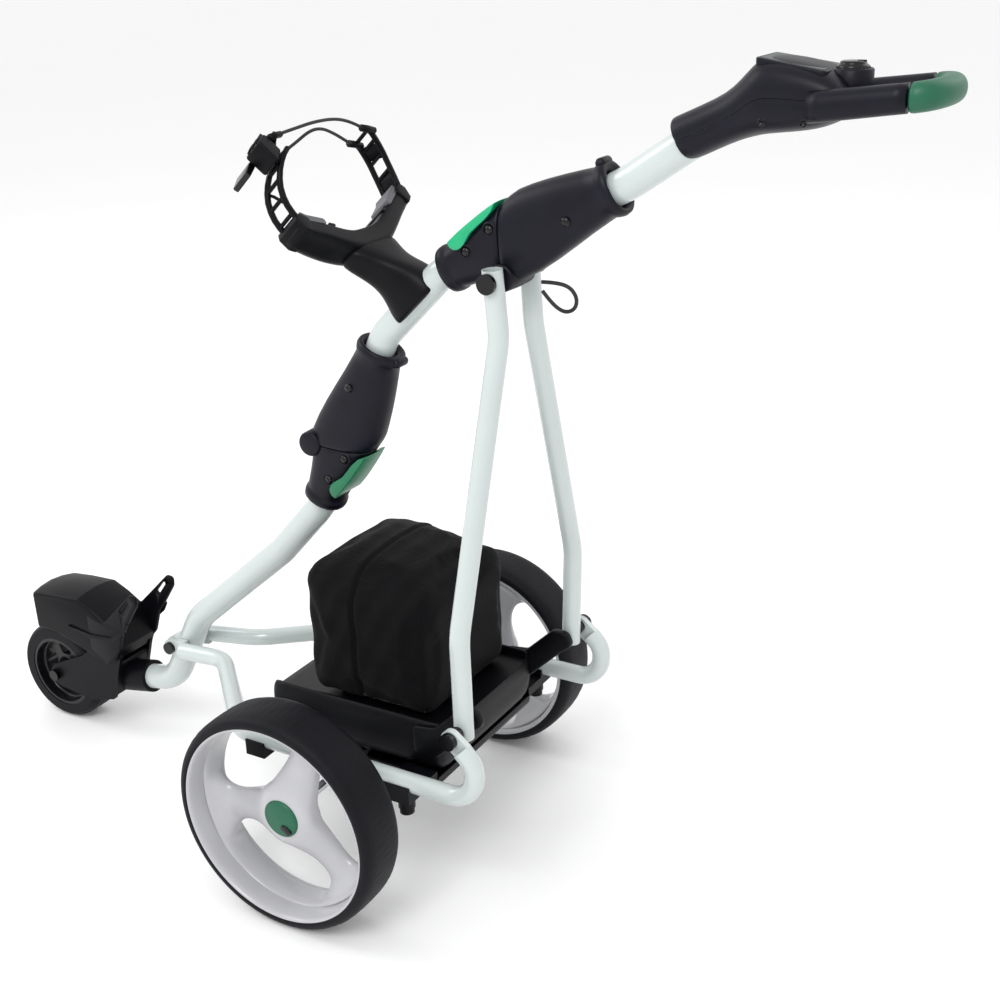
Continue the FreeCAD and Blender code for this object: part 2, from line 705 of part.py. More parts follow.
def housing():
    deck = dim("tray_deck_z")
    shell = cut(housing_solid(0), housing_solid(HOUSING_WALL),
                cross_rod(12, AXLE.x, AXLE.z, -130, 130))
    above = doc.addObject("Part::Common", "above")
    above.Base = shell
    above.Tool = box((-260, -200, SPLIT_Z), (200, 200, 260))
    below = doc.addObject("Part::Common", "below")
    below.Base = cut(housing_solid(0), housing_solid(HOUSING_WALL), cross_rod(12, AXLE.x, AXLE.z, -130, 130))
    below.Tool = box((-260, -200, 90), (200, 200, SPLIT_Z))
    seat = box((-170, -110, deck), (100, 110, 245))
    skin = box((-153, -118.5, deck - 3), (114.5, 118.5, deck))
    ears = []
    for name, sign in SIDES:
        low, high = span(sign, dim("housing_half_width") - 3.5, 127.5)
        ears.append(padded_part("ear", "XZ_Plane",
                                [(-228, 246, 12), (-150, 178, 20), (-110, 178, 10), (-110, 232, 8), (-190, 286, 14),
                                 (-224, 286, 14)], high - low, offset=-low, midplane=False, backwards=True))
    bolt_holes = cross_rod(PIN, STRUT_PIVOT.x, STRUT_PIVOT.z, -130, 130)
    folded = []
    for angle in (-22, -27, -31, -34.1):
        tube = swept(LOWER_TUBE_ROUTE, LOWER_TUBE_BENDS, dim("main_tube_radius") + 2)
        turn = Rotation(Vector(0, 1, 0), angle)
        tube.Placement = Placement(FRONT_PIVOT, Rotation()).multiply(
            Placement(Vector(0, 0, 0), turn)).multiply(Placement(FRONT_PIVOT * -1, Rotation()))
        folded.append(tube)
    keep(cut(fuse(above, skin, *ears), seat, bolt_holes, cross_rod(12, AXLE.x, AXLE.z, -130, 130), *folded),
         "chassis_housing")
    keep(below, "housing_floor")


housing()


def gear(label, teeth, place):
    module = dim("gear_module")
    pitch = module * teeth / 2
    outer = pitch + module
    root = pitch - 1.25 * module
    gap = math.pi * module / 4 + 0.3
    body = new_body(label)
    sketch = add_sketch(body, "XZ_Plane")
    draw_circle(sketch, 0, 0, outer)
    pad(body, sketch, "dims.gear_face", True)
    doc.recompute()
    lean = math.tan(math.radians(20))
    tooth_gap = add_sketch(body, "XZ_Plane")
    bottom = gap - 1.25 * module * lean
    top = gap + (module + 1) * lean
    draw_outline(tooth_gap, [(-bottom, root), (-top, outer + 1), (top, outer + 1), (bottom, root)])
    opening = pocket(body, tooth_gap)
    polar_copies(body, opening, "Y_Axis", int(teeth))
    body.Placement = Placement(place, Rotation())
    doc.recompute()
    return body


def drive():
    spacing = dim("gear_module") * (dim("gear_teeth") + dim("pinion_teeth")) / 2 + 0.3
    motor_x = AXLE.x - spacing
    gear_y = -60.0
    bore = cross_rod("dims.axle_radius", AXLE.x, AXLE.z, gear_y - 10, gear_y + 10)
    keep(cut(gear("axle_gear", dim("gear_teeth"), Vector(AXLE.x, gear_y, AXLE.z)), bore), "axle_gear")
    pinion = gear("pinion", dim("pinion_teeth"), Vector(motor_x, gear_y, AXLE.z))
    half_tooth = 180.0 / dim("pinion_teeth")
    pinion.Placement = Placement(Vector(motor_x, gear_y, AXLE.z), Rotation(Vector(0, 1, 0), 90 + half_tooth))
    shaft = cross_rod(3, motor_x, AXLE.z, gear_y - 6, gear_y + 14)
    keep(fuse(pinion, shaft), "motor_pinion")
    can = cross_rod(24, motor_x, AXLE.z, gear_y + 8, gear_y + 88)
    nose = cross_rod(3 + GAP, motor_x, AXLE.z, gear_y, gear_y + 20)
    keep(cut(can, nose), "drive_motor")
    keep(box((30, -60, 178), (98, 60, 198)), "motor_controller")
    keep(cross_rod("dims.axle_radius", AXLE.x, AXLE.z, -262, 262), "drive_axle")
    rings = []
    for name, sign in SIDES:
        low, high = span(sign, 112, 122)
        rings.append(cut(cross_rod(12, AXLE.x, AXLE.z, low, high),
                         cross_rod(dim("axle_radius") + GAP, AXLE.x, AXLE.z, low - 1, high + 1)))
    keep(group(*rings), "axle_bearings")


drive()

# ---------------------------------------------------------------- battery in its bag

def battery():
    length, width = dim("bag_length"), dim("bag_width")
    low = dim("tray_deck_z") + 0.5
    high = low + dim("bag_height")
    rear = dim("bag_rear_x")
    half = width / 2
    lid = [(rear, low, 8), (rear, high - 14, 20), (rear + 60, high + 8, 60), (rear + length, high, 30),
           (rear + length, low, 8)]
    outside = padded_part("bag", "XZ_Plane", lid, width)
    skin = dim("bag_skin")
    room = box((rear + skin, -half + skin, low + skin), (rear + length - skin, half - skin, high - 30))
    keep(cut(outside, room), "battery_bag")
    keep(box((rear + skin + 0.5, -half + skin + 0.5, low + skin),
             (rear + length - skin - 0.5, half - skin - 0.5, high - 31)), "battery_case")


battery()

# ---------------------------------------------------------------- bag cradle

CRADLE_FOOT = Vector(-78, 0, 753)
CRADLE_TURN = Rotation(Vector(0, 1, 0), 44.0)


def cradle_point(u, y, v):
    """u along the mid tube, y across, v away from the tube."""
    return CRADLE_FOOT + CRADLE_TURN.multVec(Vector(u, y, v))


def cradle_plate(points, low, high):
    body = padded_part("plate", "YZ_Plane", points, high - low, offset=low, midplane=False)
    body.Placement = Placement(CRADLE_FOOT, CRADLE_TURN)
    doc.recompute()
    return body


def mirrored(points):
    return points + [(-p[0],) + tuple(p[1:]) for p in reversed(points)]


def cradle():
    arms = cradle_plate(mirrored([(26, 20, 4), (30, 60, 24), (66, 88, 30), (98, 108, 24), (112, 130, 12),
                                  (110, 146, 5), (100, 146, 5), (95, 134, 12), (66, 121, 40), (30, 110, 60)]), -14, 32)
    foot = cradle_plate([(-27, -20, 8), (27, -20, 8), (27, 34, 6), (-27, 34, 6)], -46, 38)
    core = main_tube_core(MID_TUBE_ROUTE, MID_TUBE_BENDS)
    keep(cut(fuse(arms, foot), core), "bag_cradle")

    pads = []
    ladders = []
    for name, sign in SIDES:
        pads.append(cradle_plate([(sign * 64, 118, 1), (sign * 93, 129, 1), (sign * 90, 142, 3),
                                  (sign * 62, 129, 3)], -10, 20))
        ladder = cradle_plate([(sign * 111, 146.3, 1), (sign * 104, 146.3, 1), (sign * 103, 186, 10), (sign * 79, 218, 2),
                               (sign * 84, 224, 2), (sign * 110, 190, 12)], -30, 10)
        ladders.append(ladder)
    keep(cut(group(*pads), parts["bag_cradle"]), "cradle_pads")
    keep(group(*ladders), "cradle_ladders")

    block = cradle_plate([(88.5, 219.7, 1), (101.5, 202.7, 1), (116, 218, 3), (103, 243, 3)], -46, -16)
    socket = rod(2.4 + GAP, cradle_point(-30, 106, 226.5), cradle_point(-10, 106, 226.5))
    keep(cut(block, socket, parts["cradle_ladders"]), "buckle_block")
    lever = cradle_plate([(100, 227, 2), (109, 230, 2), (129, 220, 2), (126, 215, 2), (107, 223, 2)], -15.6, 16)
    pivot = rod(2.4, cradle_point(-29, 106, 226.5), cradle_point(14, 106, 226.5))
    keep(fuse(lever, pivot), "buckle_lever")

    cords = []
    for u, lift in ((0.0, 0.0), (-24.0, 3.0)):
        route = [tuple(cradle_point(u, -82, 221)), tuple(cradle_point(u, -50, 231 + lift)),
                 tuple(cradle_point(u, 0, 236 + lift)), tuple(cradle_point(u, 50, 231 + lift)),
                 tuple(cradle_point(u, 82, 221))]
        cords.append(swept(route, [90, 200, 90], "dims.bungee_radius"))
    keep(group(*cords), "bungees")


cradle()


def cord_loop():
    """Limp teardrop loop of cord, both ends in the lug under the upper joint's cap."""
    route = [(-252, 5, 795), (-268, 5, 796), (-287, 4, 793), (-296, 2, 780), (-291, -2, 765), (-276, -4, 759),
             (-259, -5, 768), (-247, -5, 782)]
    radii = cord_radii(route)
    print("cord loop bend radii:", ["%.1f" % radius for radius in radii])
    cord = swept(route, radii, "dims.loop_cord_radius")
    keep(cord, "cord_loop")
    return route, radii


cord_route, cord_bends = cord_loop()

# ---------------------------------------------------------------- handle

HANDLE_SIDE = [(-408, 984, 3), (-440, 1002, 30), (-484, 1042, 12), (-508, 1052, 8), (-590, 1037, 10), (-604, 1014, 8),
               (-596, 984, 12), (-569, 972, 20), (-490, 962, 20), (-438, 942, 3)]
HANDLE_SPLIT = [(-390, 960), (-430, 985), (-500, 1002), (-640, 1008), (-640, 1100), (-390, 1100)]


def across_mirrored(points):
    return points + [(p[0], -p[1]) + tuple(p[2:]) for p in reversed(points)]


def handle():
    solids = []
    for repeat in range(2):
        side = padded_part("side", "XZ_Plane", HANDLE_SIDE, 120)
        plan = padded_part("plan", "XY_Plane",
                           across_mirrored([(-395, 26), (-440, 27, 20), (-500, 42, 40), (-560, 48, 20), (-620, 46)]),
                           300, offset=850, midplane=False)
        blank = doc.addObject("Part::Common", "blank")
        blank.Base = side
        blank.Tool = plan
        core = main_tube_core(HANDLE_TUBE_ROUTE, HANDLE_TUBE_BENDS)
        room = box((-580, -34, 990), (-492, 34, 1026))
        solids.append(cut(blank, core, room))
    half = dim("handle_loop_half_width")
    route = [(-590, -half, 1002), (-694, -half, 1013), (-694, half, 1013), (-590, half, 1002)]
    loop = swept(route, [30, 30], "dims.handle_loop_radius")
    arms = cut(loop, box((-760, -80, 960), (-668, 80, 1060)))
    end = doc.addObject("Part::Common", "end")
    end.Base = swept(route, [30, 30], "dims.handle_loop_radius")
    end.Tool = box((-760, -80, 960), (-668, 80, 1060))
    keep(end, "grip_end")
    window_points = [(-582, 1039), (-514, 1051.5), (-514, 1047), (-582, 1034.5)]
    window_room = padded_part("window_room", "XZ_Plane", window_points, 64)
    dial_room = cut(rod(19, Vector(-600, 0, 1012), Vector(-597, 0, 1060)), box((-700, -50, 900), (-500, 50, 1019)))
    upper = doc.addObject("Part::Common", "upper")
    upper.Base = solids[0]
    upper.Tool = padded_part("split", "XZ_Plane", HANDLE_SPLIT, 200)
    keep(cut(upper, window_room, dial_room, swept(route, [30, 30], "dims.handle_loop_radius")), "handle_upper_shell")
    lower = cut(solids[1], padded_part("split", "XZ_Plane", HANDLE_SPLIT, 200))
    keep(fuse(lower, arms), "handle_lower_shell")
    keep(padded_part("window", "XZ_Plane", [(-581.5, 1037.5), (-514.5, 1049.8), (-514.5, 1047.3), (-581.5, 1035)], 63),
         "display_window")
    keep(box((-576, -30, 1004), (-496, 30, 1008)), "control_board")
    keep(rod(17, Vector(-599.5, 0, 1020), Vector(-598.5, 0, 1042)), "speed_dial")


handle()

# ---------------------------------------------------------------- finish

doc.recompute()
for item in doc.Objects:
    if "Invalid" in item.State or "Error" in item.State:
        raise RuntimeError("%s (%s) failed: %s" % (item.Name, item.Label, item.State))

os.makedirs("parts", exist_ok=True)
for label, item in sorted(parts.items()):
    shape = item.Shape
    if shape.isNull() or not shape.isValid():
        raise RuntimeError("%s has no valid shape" % label)
    shape.exportStep("parts/%s.step" % label)
    size = shape.BoundBox
    print("%-22s solids %d volume %10.0f  x %7.1f %7.1f  y %7.1f %7.1f  z %7.1f %7.1f" % (
        label, len(shape.Solids), shape.Volume, size.XMin, size.XMax, size.YMin, size.YMax, size.ZMin, size.ZMax))

run = sum(edge.Length for edge in bend_points(cord_route, cord_bends))
section = math.pi * dim("loop_cord_radius") ** 2
print("cord loop length %.1f mm, volume %.1f, section times length %.1f" % (
    run, parts["cord_loop"].Shape.Volume, section * run))
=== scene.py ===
import math

import bmesh
import bpy
from mathutils import Matrix, Vector


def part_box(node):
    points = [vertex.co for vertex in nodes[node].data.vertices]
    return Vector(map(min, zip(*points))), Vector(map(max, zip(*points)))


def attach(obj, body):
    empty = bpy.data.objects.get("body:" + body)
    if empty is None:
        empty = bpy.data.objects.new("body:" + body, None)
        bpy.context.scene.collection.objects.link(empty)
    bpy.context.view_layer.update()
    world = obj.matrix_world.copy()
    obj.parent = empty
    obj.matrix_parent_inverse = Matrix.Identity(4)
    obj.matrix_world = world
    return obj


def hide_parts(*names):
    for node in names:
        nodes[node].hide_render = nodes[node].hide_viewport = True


# Electric golf trolley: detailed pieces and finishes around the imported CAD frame.
# Metres, +X forward, +Y left, +Z up. Lengths written in millimetres are turned to metres by MM.

MM = 0.001
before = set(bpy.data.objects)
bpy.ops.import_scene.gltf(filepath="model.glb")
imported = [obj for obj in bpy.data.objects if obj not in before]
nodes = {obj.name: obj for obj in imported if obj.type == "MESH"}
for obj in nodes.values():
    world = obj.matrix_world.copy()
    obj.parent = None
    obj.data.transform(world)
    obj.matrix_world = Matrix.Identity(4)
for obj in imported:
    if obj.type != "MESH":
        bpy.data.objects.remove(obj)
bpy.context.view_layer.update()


# ------------------------------------------------------------------ materials

GRAIN_DEPTH = 0.0004

def new_material(name):
    material = bpy.data.materials.new(name)
    material.use_nodes = True
    tree = material.node_tree
    return material, tree.nodes, tree.links, tree.nodes["Principled BSDF"]


def add_noise(tree, links, place, scale, detail):
    noise = tree.new("ShaderNodeTexNoise")
    noise.inputs["Scale"].default_value = scale
    noise.inputs["Detail"].default_value = detail
    links.new(place.outputs["Object"], noise.inputs["Vector"])
    return noise


def add_bump(tree, links, height, strength, distance):
    bump = tree.new("ShaderNodeBump")
    bump.inputs["Strength"].default_value = strength
    bump.inputs["Distance"].default_value = distance
    links.new(height, bump.inputs["Height"])
    return bump


def surface(name, color, roughness, spread=0.12, scale=60.0, bump=0.0, bump_scale=900.0, **sockets):
    """Plain finish with a slight drift in colour and roughness, and a fine grain."""
    material, tree, links, shader = new_material(name)
    place = tree.new("ShaderNodeTexCoord")
    drift = add_noise(tree, links, place, scale, 4.0)
    ramp = tree.new("ShaderNodeValToRGB")
    ramp.color_ramp.elements[0].position = 0.3
    ramp.color_ramp.elements[1].position = 0.7
    ramp.color_ramp.elements[0].color = [c * (1 - spread) for c in color] + [1]
    ramp.color_ramp.elements[1].color = [min(1.0, c * (1 + spread)) for c in color] + [1]
    links.new(drift.outputs["Fac"], ramp.inputs["Fac"])
    links.new(ramp.outputs["Color"], shader.inputs["Base Color"])
    rough = tree.new("ShaderNodeMapRange")
    rough.inputs["To Min"].default_value = roughness * 0.9
    rough.inputs["To Max"].default_value = min(1.0, roughness * 1.12)
    links.new(drift.outputs["Fac"], rough.inputs["Value"])
    links.new(rough.outputs["Result"], shader.inputs["Roughness"])
    if bump:
        grain = add_noise(tree, links, place, bump_scale, 3.0)
        lift = add_bump(tree, links, grain.outputs["Fac"], bump, GRAIN_DEPTH)
        links.new(lift.outputs["Normal"], shader.inputs["Normal"])
    for socket, number in sockets.items():
        shader.inputs[socket.replace("_", " ")].default_value = number
    return material


def woven(name, color):
    """Coarse nylon cloth: two crossed sets of threads over a soft crumple."""
    material, tree, links, shader = new_material(name)
    place = tree.new("ShaderNodeTexCoord")
    threads = []
    for turn in (0.0, math.pi / 2):
        spin = tree.new("ShaderNodeMapping")
        spin.inputs["Rotation"].default_value = (0.35, turn, 0.35)
        links.new(place.outputs["Object"], spin.inputs["Vector"])
        wave = tree.new("ShaderNodeTexWave")
        wave.inputs["Scale"].default_value = 190.0
        wave.inputs["Distortion"].default_value = 0.6
        links.new(spin.outputs["Vector"], wave.inputs["Vector"])
        threads.append(wave)
    weave = tree.new("ShaderNodeMath")
    weave.operation = "MULTIPLY"
    links.new(threads[0].outputs["Fac"], weave.inputs[0])
    links.new(threads[1].outputs["Fac"], weave.inputs[1])
    crumple = add_noise(tree, links, place, 22.0, 5.0)
    ramp = tree.new("ShaderNodeValToRGB")
    ramp.color_ramp.elements[0].color = [c * 0.6 for c in color] + [1]
    ramp.color_ramp.elements[1].color = [c * 1.6 for c in color] + [1]
    links.new(weave.outputs["Value"], ramp.inputs["Fac"])
    links.new(ramp.outputs["Color"], shader.inputs["Base Color"])
    fine = add_bump(tree, links, weave.outputs["Value"], 0.35, GRAIN_DEPTH)
    coarse = add_bump(tree, links, crumple.outputs["Fac"], 0.5, 0.003)
    links.new(fine.outputs["Normal"], coarse.inputs["Normal"])
    links.new(coarse.outputs["Normal"], shader.inputs["Normal"])
    shader.inputs["Roughness"].default_value = 0.75
    shader.inputs["Specular IOR Level"].default_value = 0.1
    shader.inputs["Sheen Weight"].default_value = 0.02
    return material


WHITE = surface("white_paint", (0.50, 0.555, 0.545), 0.24, spread=0.02, scale=8.0, bump=0.03,
                bump_scale=300.0,
                Coat_Weight=0.5, Coat_Roughness=0.12)
JOINT = surface("joint_plastic", (0.0035, 0.0035, 0.0085), 0.4, spread=0.25, scale=30.0, bump=0.22,
                Specular_IOR_Level=0.2)
BLACK = surface("black_plastic", (0.0022, 0.0023, 0.0036), 0.4, spread=0.25, scale=30.0, bump=0.25,
                Specular_IOR_Level=0.13)
KNOB = surface("knob_plastic", (0.0015, 0.0015, 0.0025), 0.2, spread=0.2, scale=60.0, bump=0.05,
               Specular_IOR_Level=0.35)
LEVER = surface("lever_green", (0.004, 0.36, 0.155), 0.34, spread=0.08, scale=40.0, bump=0.08)
# same green plastic as the upper latch lever, made darker for the lower lever as painted shade
SHADED_LEVER = surface("lever_dark_green", (0.002, 0.15, 0.062), 0.34, spread=0.08, scale=40.0, bump=0.08)
GREEN = surface("cap_green", (0.0005, 0.095, 0.045), 0.45, spread=0.1, scale=40.0, bump=0.1)
PANEL = surface("display_panel", (0.055, 0.065, 0.068), 0.45, spread=0.08, scale=20.0, bump=0.04)
SILVER = surface("hub_plastic", (0.44, 0.44, 0.46), 0.26, spread=0.03, scale=12.0, bump=0.04,
                 Coat_Weight=0.25,
                 Coat_Roughness=0.2)
DARK_HUB = surface("front_hub_plastic", (0.004, 0.004, 0.006), 0.28, spread=0.2, scale=30.0, bump=0.05,
                   Specular_IOR_Level=0.35)
TYRE = surface("tyre_rubber", (0.0035, 0.0035, 0.006), 0.55, spread=0.25, scale=24.0, bump=0.4,
               bump_scale=500.0,
               Specular_IOR_Level=0.16)
PAD = surface("pad_rubber", (0.085, 0.085, 0.098), 0.5, spread=0.12, scale=30.0, bump=0.2)
CORD = surface("elastic_cord", (0.006, 0.006, 0.008), 0.55, spread=0.4, scale=700.0, bump=0.5,
               bump_scale=1500.0)
STEEL = surface("zinc_steel", (0.55, 0.55, 0.57), 0.3, spread=0.08, scale=90.0, bump=0.1, Metallic=1.0)
BOARD = surface("circuit_board", (0.01, 0.12, 0.04), 0.4, spread=0.3, scale=90.0)
FABRIC = woven("bag_fabric", (0.0018, 0.0018, 0.0026))
# webbing lighter than the bag fabric, used for the lid's pull tab as a painted highlight
WEBBING_PAINTED_HIGHLIGHT = woven("tab_webbing_painted_highlight", (0.004, 0.004, 0.005))
FLOOR = surface("floor", (0.93, 0.93, 0.93), 0.6, spread=0.004, scale=1.5)

NODE_FINISHES = {
    WHITE: ("base_tube_left", "base_tube_right", "lower_tube", "pivot_lug", "mid_tube", "handle_tube",
            "strut_left",
            "strut_right"),
    BLACK: ("chassis_housing", "housing_floor", "clamp_plugs", "front_bracket", "bag_rest", "bag_cradle",
            "cradle_ladders", "buckle_block", "buckle_lever", "handle_upper_shell", "handle_lower_shell",
            "speed_dial", "left_release_catch", "right_release_catch", "tube_clamps"),
    JOINT: ("lower_joint_socket", "lower_joint_cap", "upper_joint_socket", "upper_joint_cap"),
    KNOB: ("strut_pivot_bolts", "front_pivot_bolt", "strut_top_knobs", "lower_joint_bolts",
           "mid_joint_bolts",
           "handle_joint_bolt", "front_axle"),
    LEVER: ("upper_latch_lever",),
    SHADED_LEVER: ("lower_latch_lever",),
    GREEN: ("grip_end", "left_hub_cap", "right_hub_cap"),
    PANEL: ("display_window",),
    SILVER: ("left_hub", "right_hub"),
    DARK_HUB: ("front_hub",),
    TYRE: ("left_tyre", "right_tyre", "front_tyre"),
    PAD: ("cradle_pads",),
    CORD: ("bungees", "cord_loop"),
    STEEL: ("axle_bearings", "drive_axle", "axle_gear", "motor_pinion", "lower_hinge_pin",
            "upper_hinge_pin",
            "drive_motor", "battery_case"),
    BOARD: ("motor_controller", "control_board"),
    FABRIC: ("battery_bag",),
}


def paint(obj, material):
    obj.data.materials.clear()
    obj.data.materials.append(material)


for material, names in NODE_FINISHES.items():
    for node_name in names:
        node = nodes[node_name]
        for index in range(max(1, len(node.material_slots))):
            if len(node.material_slots) == 0:
                node.data.materials.append(material)
            else:
                node.material_slots[index].material = material


# ------------------------------------------------------------------ mesh helpers

def finish_piece(obj, body, material, hides=None, smooth=True):
    """Paint a piece and tie it to its body. It stands for the node of its own name, or those given."""
    paint(obj, material)
    if smooth and obj.type == "MESH":
        for polygon in obj.data.polygons:
            polygon.use_smooth = True
    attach(obj, body)
    own = obj.name.removeprefix("piece_")
    if hides is None and own in nodes:
        hides = (own,)
    if hides:
        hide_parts(*hides)
    return obj


def face_outwards(mesh, merge=False):
    work = bmesh.new()
    work.from_mesh(mesh)
    if merge:
        bmesh.ops.remove_doubles(work, verts=work.verts, dist=1e-6)
    bmesh.ops.recalc_face_normals(work, faces=work.faces)
    work.to_mesh(mesh)
    work.free()


def mesh_object(name, points, faces):
    """Mesh from points in millimetres."""
    mesh = bpy.data.meshes.new(name)
    mesh.from_pydata([tuple(c * MM for c in point) for point in points], [], faces)
    mesh.validate()
    obj = bpy.data.objects.new(name, mesh)
    bpy.context.scene.collection.objects.link(obj)
    face_outwards(mesh)
    return obj


def turns(count):
    """Angle, cosine and sine at equal steps of a full turn."""
    for k in range(count):
        angle = 2 * math.pi * k / count
        yield angle, math.cos(angle), math.sin(angle)


def superellipse(value, power):
    """Cosine or sine of an angle, squared off by the corner power."""
    return math.copysign(abs(value) ** (2 / power), value)


def apply_modifiers(obj):
    evaluated = obj.evaluated_get(bpy.context.evaluated_depsgraph_get())
    mesh = bpy.data.meshes.new_from_object(evaluated)
    obj.modifiers.clear()
    old = obj.data
    obj.data = mesh
    bpy.data.meshes.remove(old)


def subdivide(obj, levels):
    modifier = obj.modifiers.new("smooth", "SUBSURF")
    modifier.levels = levels
    modifier.render_levels = levels
    apply_modifiers(obj)


def cut_out(obj, cutter):
    """Take the cutter's space out of an object."""
    modifier = obj.modifiers.new("cut", "BOOLEAN")
    modifier.operation = "DIFFERENCE"
    modifier.object = cutter
    modifier.solver = "EXACT"
    apply_modifiers(obj)
    bpy.data.objects.remove(cutter)


def bevel(obj, width, segments=3, angle=30):
    modifier = obj.modifiers.new("edges", "BEVEL")
    modifier.width = width * MM
    modifier.segments = segments
    modifier.limit_method = "ANGLE"
    modifier.angle_limit = math.radians(angle)
    modifier.harden_normals = False
    apply_modifiers(obj)


def join(name, objects):
    """One object from several."""
    work = bmesh.new()
    for obj in objects:
        work.from_mesh(obj.data)
    mesh = bpy.data.meshes.new(name)
    work.to_mesh(mesh)
    work.free()
    result = bpy.data.objects.new(name, mesh)
    bpy.context.scene.collection.objects.link(result)
    for obj in objects:
        bpy.data.objects.remove(obj)
    return result


def loft(name, rings, ends=True):
    """Surface through rings of equal numbers of points."""
    count = len(rings[0])
    points = [point for ring in rings for point in ring]
    faces = []
    last = len(rings) - 1
    for i in range(last):
        for j in range(count):
            a = i * count + j
            b = i * count + (j + 1) % count
            faces.append((a, b, b + count, a + count))
    if ends:
        faces.append(tuple(range(count)))
        faces.append(tuple(last * count + j for j in range(count)))
    return mesh_object(name, points, faces)


def oval(centre, first, second, half_first, half_second, power=2.0, count=40):
    """Superellipse ring around centre in the plane of two unit vectors."""
    ring = []
    for _, c, s in turns(count):
        a = superellipse(c, power) * half_first
        b = superellipse(s, power) * half_second
        ring.append(tuple(Vector(centre) + Vector(first) * a + Vector(second) * b))
    return ring


def rounded(corners, steps=6):
    """Closed outline whose corners (x, y, radius) are rounded."""
    outline = []
    count = len(corners)
    for i, corner in enumerate(corners):
        here = Vector(corner[:2])
        radius = corner[2] if len(corner) > 2 else 0
        if radius <= 0:
            outline.append(tuple(here))
            continue
        back = (Vector(corners[i - 1][:2]) - here).normalized()
        ahead = (Vector(corners[(i + 1) % count][:2]) - here).normalized()
        half = back.angle(ahead) / 2
        reach = radius / math.tan(half)
        centre = here + (back + ahead).normalized() * (radius / math.sin(half))
        start = here + back * reach - centre
        stop = here + ahead * reach - centre
        turn = start.angle_signed(stop)
        for k in range(steps + 1):
            spot = start.copy()
            spot.rotate(Matrix.Rotation(-turn * k / steps, 2))
            outline.append(tuple(centre + spot))
    return outline


def slab(name, outline, place, low, high, edge=1.5, segments=3):
    """Plate: an outline (a, b) between two heights, placed in space by place(a, b, height)."""
    count = len(outline)
    points = [place(a, b, low) for a, b in outline] + [place(a, b, high) for a, b in outline]
    faces = [tuple(range(count)), tuple(range(2 * count - 1, count - 1, -1))]
    faces += [(k, (k + 1) % count, count + (k + 1) % count, count + k) for k in range(count)]
    obj = mesh_object(name, points, faces)
    if edge:
        bevel(obj, edge, segments)
    return obj


def side_plane(a, b, height):
    return (a, height, b)


def lathe(name, profile, centre, count=96, axis="Y"):
    """Revolve (radius, offset) pairs about a line along Y (or Z) through centre."""
    x, y, z = centre
    points = []
    for _, c, s in turns(count):
        for radius, offset in profile:
            if axis == "Y":
                points.append((x + radius * c, y + offset, z + radius * s))
            else:
                points.append((x + radius * c, y + radius * s, z + offset))
    count_ring = len(profile)
    faces = []
    for i in range(count):
        following = (i + 1) % count
        for j in range(count_ring - 1):
            faces.append((i * count_ring + j, i * count_ring + j + 1,
                          following * count_ring + j + 1, following * count_ring + j))
    obj = mesh_object(name, points, faces)
    face_outwards(obj.data, merge=True)
    return obj


def curve_piece(name, points, radius, body, material, hides=()):
    """Round cord through control points in millimetres."""
    curve = bpy.data.curves.new(name, "CURVE")
    curve.dimensions = "3D"
    curve.bevel_depth = radius * MM
    curve.bevel_resolution = 6
    curve.resolution_u = 16
    curve.use_fill_caps = True
    spline = curve.splines.new("NURBS")
    spline.points.add(len(points) - 1)
    for spot, point in zip(spline.points, points):
        spot.co = tuple(c * MM for c in point) + (1.0,)
    spline.order_u = 3
    spline.use_endpoint_u = True
    obj = bpy.data.objects.new(name, curve)
    bpy.context.scene.collection.objects.link(obj)
    return finish_piece(obj, body, material, hides)


# ------------------------------------------------------------------ folding joints

class Joint:
    """Frame of a folding joint: along from its lower to its upper ring, across to the hinge side."""

    def __init__(self, hinge, tilt, side):
        turn = Matrix.Rotation(math.radians(tilt), 3, "Y")
        self.along = turn @ Vector((1, 0, 0))
        self.across = (turn @ Vector((0, 0, 1))) * side
        self.base = Vector(hinge) - self.along * 76 - self.across * 35

    def at(self, along, across, y=0.0):
        return tuple(self.base + self.along * along + self.across * across + Vector((0, y, 0)))


LOWER = Joint((87, 0, 552), -115.7, -1)
UPPER = Joint((-210, 0, 800), -153.6, 1)

# along, lowest across, highest across, half width, shear of the ring's plane, corner power
SOCKET_RINGS = [
    (9, -19.3, 19.3, 19.3, 0.0, 2.0), (1, -22, 22, 22, 0.0, 2.0), (-1.5, -26, 26, 25.5, 0.0, 2.1),
    (0, -28.4, 28.2, 27, 0.0, 2.2), (5, -29.4, 29.0, 27.6, 0.0, 2.2), (10, -29.0, 28.6, 27.6, 0.0, 2.2),
    (12.5, -26.8, 26.6, 26.2, 0.0, 2.2), (16, -26.6, 27, 26.4, 0.0, 2.3), (26, -28, 28, 27.0, -0.03, 2.4),
    (40, -31, 29.5, 27.8, -0.1, 2.5), (56, -34.6, 32, 28.3, -0.2, 2.6), (72, -38.4, 35, 28.6, -0.32, 2.7),
    (86, -41.4, 36, 28.7, -0.42, 2.7), (90.2, -42.4, 36, 28.6, -0.431, 2.7),
    (91, -41.2, 35, 27.4, -0.431, 2.7), (90, -28, 22, 17, -0.431, 2.5),
]
